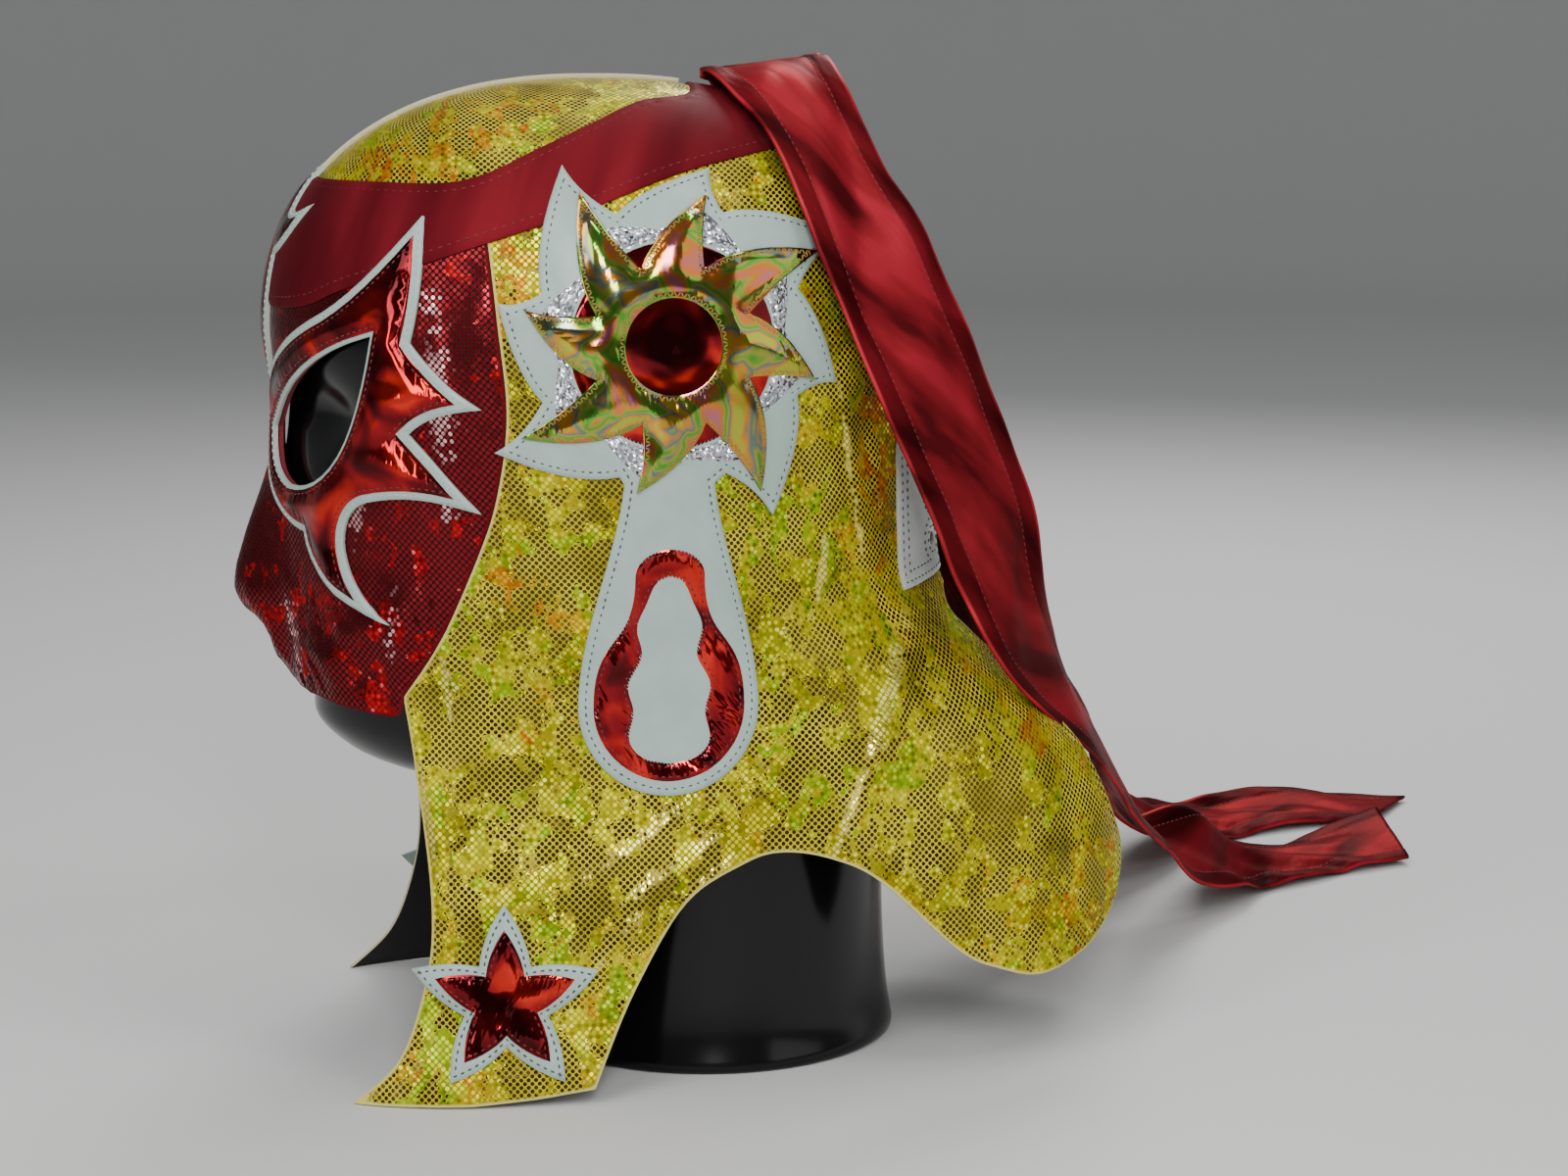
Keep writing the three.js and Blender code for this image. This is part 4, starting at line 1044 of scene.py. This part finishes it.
def foil(name, stops, roughness, waves=1.0, scale=0.045, film=0.0):
    """Mirror foil, with a clear film over it that shows lights white."""
    s = Shader(name, metallic=1.0, roughness=roughness, coat_weight=film, coat_roughness=0.06)
    place = s.cloth()
    # Partly painted reflection: the base colour goes darker and lighter patch by patch with noise, and on the
    # gold foil through rainbow hues
    s.set("Base Color", s.ramp(s.noise(place, scale, 1.5, Distortion=1.2), stops))
    soft = s.bump(0.5 * waves, 0.004, s.noise(place, 0.06, 0.5))
    dented = s.bump(0.12 * waves, 0.0012, s.noise(place, 0.16, 0.0), Normal=soft)
    s.set("Normal", dented)
    s.set("Coat Normal", dented)
    return s.material


def glitter(name):
    s = Shader(name, metallic=1.0, roughness=0.22)
    cells = s.node("TexVoronoi", Vector=s.cloth(), Scale=1.3, out=1)
    s.set("Base Color", s.mix(s.weighed(cells, (0.5, 0.3, 0.2)), (0.22, 0.24, 0.27), (0.85, 0.88, 0.92)))
    s.set("Normal", s.tilted((cells, 1.0)))
    return s.material


def plain_cloth(name, colour, roughness=0.85):
    s = Shader(name, roughness=roughness)
    fibres = s.noise(s.cloth(), 1.6, 3.0)
    s.set("Base Color", s.mix(fibres, darker(colour, 0.7), colour))
    s.set("Normal", s.bump(0.4, 0.0003, fibres))
    return s.material


def thread(name, colour):
    s = Shader(name, roughness=0.5)
    twist = s.noise(s.node("TexCoord", out=3), 900.0, 1.0)
    s.set("Base Color", s.mix(twist, darker(colour, 0.6), colour))
    return s.material


def gloss_plastic(name):
    s = Shader(name, base_color=(0.003, 0.003, 0.0035), specular_ior_level=0.28)
    where = s.node("TexCoord", out=3)
    s.set("Roughness", s.spread(s.noise(where, 14.0, 4.0), 0.3, 0.8, 0.12, 0.24))
    s.set("Normal", s.bump(0.08, 0.002, s.noise(where, 9.0, 2.0)))
    return s.material


# Colours of the painted glints on the foil's shard patches, a painted reflection
GOLD_FLAKE_GLINTS = [(0.36, (0.98, 0.30, 0.003)), (0.43, (0.98, 0.56, 0.005)), (0.47, (0.92, 0.80, 0.006)),
               (0.60, (0.90, 0.82, 0.006)), (0.66, (0.47, 0.72, 0.004)), (0.78, (0.66, 0.80, 0.006))]
RED_FLAKE_GLINTS = [(0.30, (0.36, 0.006, 0.012)), (0.55, (0.66, 0.014, 0.018)), (0.75, (0.44, 0.008, 0.014))]
# Ramps of the satin's painted light and shade along its folds
TAIL_PAINTED_SHADING = [(0.38, (0.080, 0.0062, 0.0085)), (0.44, (0.160, 0.0105, 0.0150)),
               (0.53, (0.235, 0.0150, 0.0210)), (0.60, (0.330, 0.0190, 0.0310))]
BAND_PAINTED_SHADING = [(0.34, (0.074, 0.0052, 0.0085)), (0.50, (0.112, 0.0080, 0.0125)),
               (0.66, (0.170, 0.0120, 0.0180))]
# Foil colour ramps: darker and lighter stops, partly a painted reflection
RED_MIRROR = [(0.36, (0.07, 0.002, 0.004)), (0.45, (0.17, 0.004, 0.008)), (0.54, (0.33, 0.008, 0.012)),
              (0.64, (0.62, 0.022, 0.012))]
GOLD_MIRROR = [(0.34, (0.42, 0.13, 0.20)), (0.40, (0.62, 0.17, 0.02)), (0.44, (0.34, 0.30, 0.05)),
               (0.48, (0.05, 0.34, 0.03)), (0.52, (0.38, 0.34, 0.05)), (0.56, (0.11, 0.20, 0.17)),
               (0.61, (0.66, 0.26, 0.02)), (0.66, (0.42, 0.44, 0.04))]
GOLD_CLOTH = dot_cloth("gold_cloth", web=(0.58, 0.470, 0.022), dot_dark=(0.080, 0.060, 0.012),
                       flake_glints=GOLD_FLAKE_GLINTS, sparkle=(0.96, 0.88, 0.10), shine=(1.0, 0.88, 0.26), spread=0.0,
                       gloss=0.20, edge=(0.62, 0.54, 0.14), fineness=1.0)
RED_CLOTH = dot_cloth("red_cloth", web=(0.034, 0.003, 0.004), dot_dark=(0.210, 0.014, 0.019),
                      flake_glints=RED_FLAKE_GLINTS, sparkle=(0.90, 0.12, 0.13), shine=(0.97, 0.46, 0.47), spread=-0.12,
                      gloss=0.22, edge=(0.10, 0.003, 0.006), fineness=1.3)
TAIL_SATIN = satin("tail_satin", TAIL_PAINTED_SHADING, hem=(12.8, 18.3, 0.45))
BAND_SATIN = satin("band_satin", BAND_PAINTED_SHADING, roughness=0.50, metal=0.2, scale=0.05)
WHITE_VINYL = vinyl("white_vinyl", (0.36, 0.475, 0.425), 0.42, 0.08)
LACING_VINYL = vinyl("lacing_vinyl", (0.55, 0.62, 0.59), 0.26, 0.4)
RED_FOIL = foil("red_foil", RED_MIRROR, 0.09, waves=1.3, film=0.2)
GOLD_FOIL = foil("gold_foil", GOLD_MIRROR, 0.12, scale=0.05, film=0.25)
SILVER = glitter("silver_glitter")
CUT_EDGE = plain_cloth("cut_edge", (0.62, 0.58, 0.36))
RED_EDGE = plain_cloth("red_edge", (0.20, 0.01, 0.02))
LINING = plain_cloth("black_lining", (0.012, 0.012, 0.012))
VINYL_EDGE = plain_cloth("vinyl_edge", (0.50, 0.52, 0.48), 0.6)
FOIL_EDGE = plain_cloth("foil_edge", (0.10, 0.02, 0.02), 0.5)
GREY_THREAD = thread("grey_thread", (0.07, 0.08, 0.08))
WHITE_THREAD = thread("white_thread", (0.55, 0.58, 0.56))
RED_THREAD = thread("red_thread", (0.16, 0.01, 0.015))
GOLD_THREAD = thread("gold_thread", (0.30, 0.20, 0.03))
BLACK_PLASTIC = gloss_plastic("black_plastic")

# ---------------------------------------------------------------- display head
HEAD_LEVELS = 120
HEAD_COLUMNS = 160
# Rounding of the foot's edge: height, and how far the wall stands out
FOOT = [(0.0, -2.2), (0.4, -1.0), (1.2, -0.3), (2.4, 0.0)]


def display_head():
    wall = np.linspace(4, WIDEST, HEAD_LEVELS)
    turn = np.linspace(0, math.pi / 2, 41)[1:-1]
    dome = WIDEST + (HEAD["crown"] - WIDEST) * np.sin(turn) ** (2 / DOME_POWER)
    foot, grow = np.array(FOOT).T
    levels = np.concatenate((foot, wall, dome))
    grow = np.concatenate((grow, np.zeros(len(wall) + len(dome))))
    angle = np.linspace(0, 2 * math.pi, HEAD_COLUMNS, endpoint=False)
    angle = angle - math.pi * 0.03 * np.sin(2 * angle)
    rows = form_point(HEAD, angle[None], levels[:, None])
    socket = np.exp(-((np.abs(rows[..., 0]) - EYE_SOCKET["side"]) / EYE_SOCKET["width"]) ** 2
                    - ((rows[..., 2] - EYE_SOCKET["height"]) / EYE_SOCKET["tall"]) ** 2)
    lips = np.exp(-(rows[..., 0] / LIPS["width"]) ** 2
                  - ((rows[..., 2] - LIPS["height"]) / LIPS["tall"]) ** 2)
    rows[..., 1] += np.where(np.cos(angle) > 0, EYE_SOCKET["depth"] * socket - LIPS["depth"] * lips, 0)
    rows += unit(rows * (1, 1, 0)) * grow[:, None, None]
    verts = np.concatenate((rows.reshape(-1, 3), [(0, -35, HEAD["crown"]), (0, 0, 0)]))
    ring = np.arange(HEAD_COLUMNS)
    following = np.roll(ring, -1)
    last, top = (len(levels) - 1) * HEAD_COLUMNS, len(verts) - 2
    faces = grid_faces(len(levels), HEAD_COLUMNS, True).tolist()
    faces += [(last + c, last + n, top) for c, n in zip(ring, following)]
    faces += [(n, c, top + 1) for c, n in zip(ring, following)]
    settle(make_mesh("display_head_smooth", verts, faces, [BLACK_PLASTIC]), "display_head", "display_head")


display_head()

# ---------------------------------------------------------------- hood, face and band
def hood_loop(step):
    """Edge of the left gold panel: seam, flap, hem, arch, lobe, slit and the crown's middle."""
    seam = [(y + GAP, z + GAP) for y, z in FACE_TOP[:-1]] + [(y + GAP, z) for y, z in SEAM]
    top = half_line(seam[:4], step)
    down = half_line(spline([(y + GAP, z) for y, z in SEAM]), step)
    flap = half_line(spline(FLAP_FRONT), step)
    hem = half_line([FLAP_FRONT[-1], *FLAP_HEM, ARCH[0]], step)
    arch = half_line(spline(ARCH + LOBE), step)
    x_edge = form_point(HOOD, arch[:, 0], arch[:, 1])[:, 0]
    arch = arch[:np.argmax((x_edge < SLIT["half"]) & (arch[:, 1] > 60))]
    slit_z = np.arange(arch[-1, 1] + step / 2, SLIT["top"] - SLIT["half"], step)
    slit = np.stack((on_back(np.full(len(slit_z), SLIT["half"]), slit_z), slit_z), 1)
    bow = np.linspace(0, math.pi / 2, 5)[:-1]
    bow_x, bow_z = SLIT["half"] * np.cos(bow), SLIT["top"] - SLIT["half"] + SLIT["half"] * np.sin(bow)
    round_end = np.stack((on_back(bow_x, bow_z), bow_z), 1)
    behind, ahead = map_radius(np.array([SLIT["top"], top[0, 1]]))
    across = np.arange(behind, -ahead, -step)
    middle = np.stack(from_map(np.stack((np.full(len(across), GAP / 2), across), 1)), 1)
    return np.concatenate((top[1:], down[1:], flap[1:], hem[1:], arch[1:], slit, round_end, middle[:-1]))


def lacing_outline():
    return np.array([(LACING["inner"], LACING["foot"]), (LACING["outer"], LACING["foot"] - LACING["slant"]),
                     (LACING["outer"] - 2, LACING["top"] - 6), (LACING["outer"] - 8, LACING["top"]),
                     (LACING["inner"], LACING["top"])])


HOLES = [(LACING["inner"] + 7, z) for z in np.linspace(LACING["foot"] + 10, LACING["top"] - 10, 7)]
hole_loops = [loop_on(on_back, circle(centre, 2.2, 20), 0.7) for centre in HOLES]
hood_patch = Patch([hood_loop(CUT_STEP)], hole_loops, spacing=1.8, insets=(0.6,), creased=True)
rounding = hood_patch.bead(0, 0.35, 0.5)
hood_cloths = sew("hood_cloth", "hood_panel", hood_patch, -rounding - hood_patch.bead(3.0, 0.45, 0.9),
                  rounding * 0.5 - CLOTH_THICK, [GOLD_CLOTH, LINING, CUT_EDGE], "gold_cloth")

face_half = np.concatenate((half_line(FACE_TOP, CUT_STEP), half_line(spline(SEAM), CUT_STEP)[1:],
                            half_line(spline(FACE_EDGE), CUT_STEP)[1:]))
face_half[0, 0] = face_half[-1, 0] = 0.0
eye_loop = loop_on(on_cheek, moved(EYE, -0.8), 1.2)
face_patch = Patch([both_sides(face_half)], [eye_loop, eye_loop * (-1, 1)], spacing=1.8, insets=(0.6,),
                   creased=True)
face_cloths = sew("face_cloth", "face_panel", face_patch, -face_patch.bead(0, 0.35, 0.5), -CLOTH_THICK,
                  [RED_CLOTH, LINING, RED_EDGE], "face_cloth", "m")

band_foot, band_top = (half_line(spline(line), CUT_STEP) for line in (BAND_FOOT, BAND_TOP))
for line in (band_foot, band_top):
    line[0, 0] = 0.0
    line[-1, 0] = math.pi
band_patch = Patch([both_sides(band_foot)], [both_sides(band_top)], spacing=2.2, insets=(0.5,))
band_cloths = sew("headband_cloth", "headband", band_patch,
                  BAND_THICK - band_patch.bead(0, 0.5, 0.45) - band_patch.bead(3.2, 0.3, 0.6), LAYER_GAP,
                  [BAND_SATIN, BAND_SATIN, BAND_SATIN], "headband_satin", "m")

stitch("hem_stitches", hood_patch, 7.5, 0.05, GOLD_THREAD, "gold_cloth", pitch=3.0, length=1.9, radius=0.2,
       where=lambda p: (p[:, 2] < 140) & ((p[:, 1] > -60) | (p[:, 2] < 96)))
stitch("seam_stitches", hood_patch, 3.0, -0.3, GOLD_THREAD, "gold_cloth", pitch=2.8, length=1.8, radius=0.22,
       where=lambda p: (p[:, 1] < -58) & (p[:, 2] > 112) & (p[:, 2] < 262))
stitch("band_stitches", band_patch, 3.2, 0.8, RED_THREAD, "headband_satin", pitch=2.8, length=1.8, radius=0.2,
       sides="m")


# Section of the turned-up seam: sideways from the middle, and out from the cloth
RIDGE = [(-0.8, -0.4), (-0.8, 1.0), (-0.45, 1.5), (0.45, 1.5), (0.8, 1.0), (0.8, -0.4)]
RIDGE_FRONT = 272.5
RIDGE_BACK = 300.4


def crown_ridge():
    """Turned-up seam of the two gold panels over the middle of the crown."""
    below = DOME_HEIGHTS[DOME_HEIGHTS < CROWN - 0.02]
    ahead, behind = below[below > RIDGE_FRONT], below[below > RIDGE_BACK]
    z = np.concatenate((ahead[::-1], behind))
    angle = np.repeat((0, math.pi), (len(ahead), len(behind)))
    line, normal = form_point(HOOD, angle, z), form_normal(HOOD, angle, z)
    line = line + normal * crease(line)[:, None]
    verts = np.stack([line + normal * out + (x, 0, 0) for x, out in RIDGE], 1).reshape(-1, 3)
    cloth = np.stack([line * (0, 1, 1) + (x, 0, 0) for x, _ in RIDGE], 1).reshape(-1, 3)
    faces = tube_faces(len(line), len(RIDGE))
    settle(make_mesh("crown_ridge", verts, faces, [CUT_EDGE], cloth), "gold_cloth")


crown_ridge()

lacing_patch = Patch([loop_on(on_back, lacing_outline(), 1.2)], hole_loops, spacing=1.8, insets=(0.5,))
sew("lacing_vinyl", "lacing_strip", lacing_patch, 1.3 - lacing_patch.bead(0, 0.35, 0.45), LAYER_GAP,
    [LACING_VINYL, LINING, VINYL_EDGE], "lacing_vinyl")
stitch("lacing_stitches_outer", lacing_patch, 2.0, 1.25, GREY_THREAD, "lacing_vinyl", pitch=2.6, length=1.6)
stitch("lacing_stitches_inner", lacing_patch, 5.2, 1.3, GREY_THREAD, "lacing_vinyl", pitch=2.6, length=1.6)

# ---------------------------------------------------------------- trims
# Layers: materials of the outer face, lining and cut edge, slot, and heights of the underside and top
VINYL = ((WHITE_VINYL, WHITE_VINYL, VINYL_EDGE), "white_vinyl", LAYER_GAP, 1.7)
RED = ((RED_FOIL, RED_FOIL, FOIL_EDGE), "red_foil", 1.3, 2.3)
TEETH = ((SILVER, SILVER, VINYL_EDGE), "silver_glitter", 1.3, 2.3)
RAYS = ((GOLD_FOIL, GOLD_FOIL, FOIL_EDGE), "gold_foil", 2.0, 3.0)
EMBLEM_VINYL = (*VINYL[:3], 2.0)
EMBLEM_RED = (*RED[:2], 1.6, 2.6)


def trim(name, node, layer, patch, groove_at, puff, seam=None, sides="lr", **stitches):
    """A trim with a rolled edge, a sewn-down groove and a slightly stuffed middle. seam gives its
    stitches' name, distance inside the edge, depth below the top and thread."""
    materials, slot, low, high = layer
    stuffed = puff * (1 - np.exp(-np.maximum(patch.depth - groove_at, 0) / 3.0))
    top = high - patch.bead(0, (high - low) * 0.45, 0.45) - patch.bead(groove_at, 0.3, 0.5) + stuffed
    sew(name, node, patch, top, low, materials, slot, sides)
    if seam:
        label, inset, sunk, yarn = seam
        stitch(label, patch, inset, high - sunk, yarn, slot, sides=sides, **stitches)


def side(outline, step=1.2):
    return loop_on(on_side, outline, step)


def cheek(outline, step=1.0):
    return loop_on(on_cheek, outline, step)


trim("sun_base", "sun_base_vinyl", VINYL,
     Patch([side(SUN_BASE), side(plume(0, 192))], spacing=1.8, insets=(0.5, 1.6)), 2.2, 0.25,
     ("sun_base_stitches", 2.2, 0.2, GREY_THREAD))
trim("sun_disc", "sun_disc_foil", RED, Patch([side(circle(SUN_CENTRE, 30))]), 1.3, 0.3)
trim("sun_teeth", "sun_teeth_silver", TEETH,
     Patch([side(SUN_SILVER, 1.0)], [side(circle(SUN_CENTRE, 30.4))], spacing=1.3, insets=(0.4,)), 1.0, 0.2)
trim("sun_rays", "sun_rays_gold", RAYS,
     Patch([side(SUN_GOLD, 1.0)], [side(circle(SUN_CENTRE, 14), 1.0)], spacing=1.4, insets=(0.5, 1.4)),
     1.6, 0.8, ("sun_ray_stitches", 1.1, 0.25, GOLD_THREAD), pitch=1.0, length=2.0, radius=0.24, slant=1.05)
trim("plume_border", "plume_foil", RED,
     Patch([side(plume(4.5, 158, 8.5))], [side(window(), 1.0)]), 1.4, 0.8,
     ("plume_stitches", 1.3, 0.25, RED_THREAD), pitch=2.2)
trim("star_base", "star_base_vinyl", VINYL, Patch([side(STAR_BASE)], insets=(0.5, 1.5)),
     1.8, 0.2, ("star_base_stitches", 1.6, 0.2, GREY_THREAD))
trim("star_centre", "star_foil", RED, Patch([side(STAR_FOIL, 1.0)], spacing=1.4), 1.3, 0.4,
     ("star_stitches", 1.2, 0.25, RED_THREAD), pitch=2.2)
trim("eye_base", "eye_trim_vinyl", VINYL,
     Patch([cheek(TRIM)], [cheek(moved(EYE, -0.4))]), 1.6, 0.1,
     ("eye_base_stitches", 1.4, 0.2, WHITE_THREAD))
trim("eye_flames", "eye_trim_foil", RED,
     Patch([cheek(moved(even(TRIM, 1.0), 2.6), 0.9)], [cheek(moved(EYE, -1.6))], spacing=1.5), 1.3, 1.0,
     ("eye_stitches", 1.2, 0.25, RED_THREAD), pitch=2.2)
trim("emblem_base", "forehead_emblem_vinyl", EMBLEM_VINYL,
     Patch([loop_on(on_front, EMBLEM, 1.0)], spacing=1.5), 1.4, 0.1,
     ("emblem_stitches", 1.3, 0.2, WHITE_THREAD), sides="m")
trim("emblem_centre", "forehead_emblem_foil", EMBLEM_RED,
     Patch([loop_on(on_front, moved(even(EMBLEM, 0.8), 2.3), 0.8)], spacing=1.3, insets=(0.5,)), 1.2, 0.5,
     sides="m")

# ---------------------------------------------------------------- satin tails
# Stations down each tail: the middle, the compass heading across the ribbon and its rise in degrees, and
# the width where it isn't the ribbon's own
TAIL_WIDTH = 38.0
TAIL_COLUMNS = 31
TAIL_DIVISIONS = 18
HEM_WIDTH = 6.0
LEFT_TAIL = [
    (2, 16, 296.5, 90, -19, 36), (4, 18, 306, 90, 6), (25, 22, 299, 94, 0, 36), (48, 32, 278, 107, -2, 34),
    (59, 42.5, 253.5, 112, 8), (57, 57, 222, 117, 25), (46, 72, 191.5, 116, 30), (33, 86, 157, 119, 31),
    (26, 96, 131, 141, 39), (-1.5, 118.5, 102, 187, 40), (-36.5, 136, 75, 199, 38),
    (-58, 147, 56, 207, 38), (-79, 159, 40.5, 217, 30), (-102.5, 176, 24, 219, 33),
    (-127, 199, 18, 217, 40), (-147, 213, 9, 219, 19), (-162, 235, 3.5, 207, 5), (-176, 260, 4, 194, 7),
    (-188, 288, 7.5, 181, 14, 42),
]
RIGHT_TAIL = [
    (-2, 16, 296.5, 270, 19, 36), (-4, 18, 306, 270, -6), (-25, 22, 299, 266, 0, 36),
    (-48, 32, 278, 253, 2, 34), (-57.5, 45, 250.5, 249, 2), (-53.5, 54, 219.5, 240, -16),
    (-43.5, 58, 186.5, 231, -22), (-36, 66.5, 152.5, 221, -19), (-40.5, 84, 121.5, 220, -7),
    (-54, 99.5, 98, 226, 6), (-73, 111, 79, 231, 19), (-108, 132.5, 63.5, 226, 27),
    (-139.5, 151.5, 44.5, 216, 34), (-168.5, 172.5, 27, 221.5, 29), (-206, 201, 12, 225, 20),
    (-228, 222, 6, 210, 10), (-243, 248, 4, 188, 6), (-251, 276, 2.5, 165, 2, 42),
    (-252, 307, 2.5, 147, -2, 47),
]


def centripetal(a, b, c, d):
    """End slopes of the span from b to c on a centripetal curve."""
    ab, bc, cd = (max(np.linalg.norm(v) ** 0.5, 1e-4) for v in (b - a, c - b, d - c))
    v0 = ((b - a) / ab - (c - a) / (ab + bc) + (c - b) / bc) * bc
    v1 = ((c - b) / bc - (d - b) / (bc + cd) + (d - c) / cd) * bc
    return v0, v1


def tail_surface(stations):
    """Grid of points between the two edges of the ribbon."""
    edges = []
    for share in (-0.5, 0.5):
        ends = []
        for x, y, z, heading, rise, *width in stations:
            h, r = math.radians(heading), math.radians(rise)
            reach = (width[0] if width else TAIL_WIDTH) * share
            ends.append((x + reach * math.cos(r) * math.cos(h), y + reach * math.cos(r) * math.sin(h),
                         z + reach * math.sin(r)))
        p = np.array(ends)
        p = np.concatenate((2 * p[:1] - p[1:2], p, 2 * p[-1:] - p[-2:-1]))
        edges.append(cubic_spans(p, centripetal, TAIL_DIVISIONS)[:, None])
    across = np.linspace(0, 1, TAIL_COLUMNS)[None, :, None]
    return edges[0] * (1 - across) + edges[1] * across


def tail_folds(surface, flat, run, seed):
    """Height of a tail's folds: shallow where it is sewn on and where it nears the table."""
    grid = surface.shape[:2]
    level = surface[:, :, 2].mean(1)
    u, v, none = flat.T
    turned = np.stack((u * 0.92 + v * 0.38, v * 0.92 - u * 0.38, none), 1)
    folds = ripple(turned * (1.0, 0.28, 1.0) + (0, 0, seed), 0.042, seed, 1).reshape(grid)
    fine = ripple(turned * (1.0, 0.22, 1.0) + (0, 0, seed), 0.12, seed, 1).reshape(grid)
    broad = ripple(flat * (0.5, 1.0, 1.0), 0.018, seed + 5).reshape(grid)
    free = smooth_step(4, 40, run)[:, None] * smooth_step(-2, 14, surface[:, :, 2].min(1))[:, None]
    close = np.exp(-((level - 100) / 30) ** 2)[:, None]
    lying = (1 - smooth_step(8, 30, level)[:, None]) * smooth_step(4, 40, run[-1] - run)[:, None]
    hanging = free * (1 - 0.6 * close)
    return (-hanging * (4.6 * (folds + 0.4) + 1.1 * fine + 2.0 * (broad + 0.3))
            - lying * (5.5 * np.maximum(folds + 0.2, 0) + 2.4 * fine))


def tail_seams(faces, normal):
    """Lines of points for the stitches along both hems, on both faces."""
    for face, turn in zip(faces, (normal, -normal)):
        for column in (5, TAIL_COLUMNS - 6):
            line, out = face[:, column], turn[:, column]
            length = lengths_along(line)
            at = np.arange(2, length[-1] - 2, 2.6)
            out = unit(sample(out, length, at))
            yield sample(line, length, at) + out * 0.05, out, np.ones(len(at), bool)


def tail(name, node, stations, seed):
    surface = tail_surface(stations)
    rows, columns = surface.shape[:2]
    normal = unit(np.cross(np.gradient(surface, axis=1), np.gradient(surface, axis=0)))
    run = lengths_along(surface[:, columns // 2])
    grid_u, grid_v = np.meshgrid((np.linspace(0, 1, columns) - 0.5) * TAIL_WIDTH, run)
    flat = np.stack((grid_u.ravel(), grid_v.ravel(), np.zeros(grid_u.size)), 1)
    height = tail_folds(surface, flat, run, seed)
    edge, aside = TAIL_WIDTH / 2, np.abs(grid_u)
    hem = -0.28 * np.exp(-((aside - (edge - HEM_WIDTH)) / 0.6) ** 2)
    rolled = -0.25 * smooth_step(edge - 1.0, edge, aside)
    thick = 0.45 + 0.25 * smooth_step(edge - HEM_WIDTH - 0.5, edge - HEM_WIDTH + 0.5, aside) + rolled + hem
    verts = np.stack([surface + normal * (height + half)[..., None] for half in (thick, -thick)])
    below = np.minimum(verts[..., 2], TABLE_CLEAR)
    resting = 0.5 + 0.4 * np.exp(below - TABLE_CLEAR)
    verts[..., 2] = np.where(verts[..., 2] < TABLE_CLEAR, resting, verts[..., 2])
    thread_verts, thread_faces = stitch_mesh(tail_seams(verts, normal), 1.7, 0.2)
    settle(make_mesh(name + "_stitches", thread_verts, thread_faces, [RED_THREAD]), "tail_satin")
    count = rows * columns
    grid = np.arange(count).reshape(rows, columns)
    ring = np.concatenate((grid[:, 0], grid[-1, 1:], grid[-2::-1, -1], grid[0, -2:0:-1]))
    following = np.roll(ring, -1)
    outer = grid_faces(rows, columns, False)
    faces = np.concatenate((outer, outer[:, FLIPPED] + count,
                            np.stack((ring, following, following + count, ring + count), 1)))
    piece = make_mesh(name, verts.reshape(-1, 3), faces, [TAIL_SATIN], np.tile(flat, (2, 1)))
    return settle(piece, "tail_satin", node)


left_tail = tail("left_satin_tail", "left_tail", LEFT_TAIL, 1.7)
right_tail = tail("right_satin_tail", "right_tail", RIGHT_TAIL, 6.1)

# ---------------------------------------------------------------- floor and light
FLOOR_COLUMNS = 96


def sweep_floor():
    """Round floor with a rim that curves up, in metres until the mesh is made."""
    turn = np.linspace(-math.pi / 2, 0, 24)
    rim = [(2.8 + 1.4 * math.cos(t), 1.4 + 1.4 * math.sin(t)) for t in turn]
    profile = [(1.0, 0.0), (2.2, 0.0), *rim, (4.2, 3.2)]
    radius, z = (np.array(column)[:, None] for column in zip(*profile))
    around = 2 * math.pi * np.arange(FLOOR_COLUMNS) / FLOOR_COLUMNS
    grid = np.stack(np.broadcast_arrays(radius * np.cos(around), radius * np.sin(around), z), -1)
    verts = np.concatenate((np.zeros((1, 3)), grid.reshape(-1, 3) / MM))
    faces = [(0, 1 + c, 1 + (c + 1) % FLOOR_COLUMNS) for c in range(FLOOR_COLUMNS)]
    faces += (grid_faces(len(profile), FLOOR_COLUMNS, True)[:, FLIPPED] + 1).tolist()
    paint = Shader("floor_paint", base_color=(0.62, 0.62, 0.61), roughness=0.75).material
    return make_mesh("floor", verts, faces, [paint])


sweep_floor()

# Lamps: place, target, size and watts
LAMPS = {
    "key": ((1.0, -0.9, 1.25), (0, 0, 0.16), (1.0, 0.8), 12),
    "strip": ((1.25, -0.043, 0.734), (0.06, 0.04, 0.1), (0.24, 0.66), 10),
    "cheek": ((0.50, -0.505, 0.28), (0.03, -0.09, 0.2), (0.08, 0.36), 0.6),
    "back": ((0.53, 0.44, 1.27), (0.03, 0.05, 0.13), (0.3, 0.3), 2.5),
    "fill": ((1.0, 1.2, 0.7), (0, 0, 0.15), (1.1, 1.1), 4.5),
    "top": ((-0.1, 0.1, 1.7), (0, 0, 0.1), (1.2, 1.2), 7),
    "rim": ((-1.1, 0.5, 1.0), (0, 0, 0.2), (0.6, 0.6), 10),
}
for name, (place, target, size, power) in LAMPS.items():
    light = bpy.data.lights.new(name, "AREA")
    light.shape = "RECTANGLE"
    light.size, light.size_y = size
    light.energy = power
    lamp = bpy.data.objects.new(name, light)
    lamp.location = place
    lamp.rotation_euler = (Vector(target) - Vector(place)).to_track_quat("-Z", "Y").to_euler()
    bpy.context.scene.collection.objects.link(lamp)
world = bpy.data.worlds.new("studio")
world.use_nodes = True
world.node_tree.nodes["Background"].inputs["Color"].default_value = (0.75, 0.77, 0.8, 1)
world.node_tree.nodes["Background"].inputs["Strength"].default_value = 0.32
bpy.context.scene.world = world

# ---------------------------------------------------------------- areas of the cloth patches, worked out and not used
for pieces, patch, size in ((hood_cloths, hood_patch, (0.30, 0.35)), (face_cloths, face_patch, (0.27, 0.16)),
                            (band_cloths, band_patch, (0.60, 0.045))):
    for piece in pieces:
        patch.area()
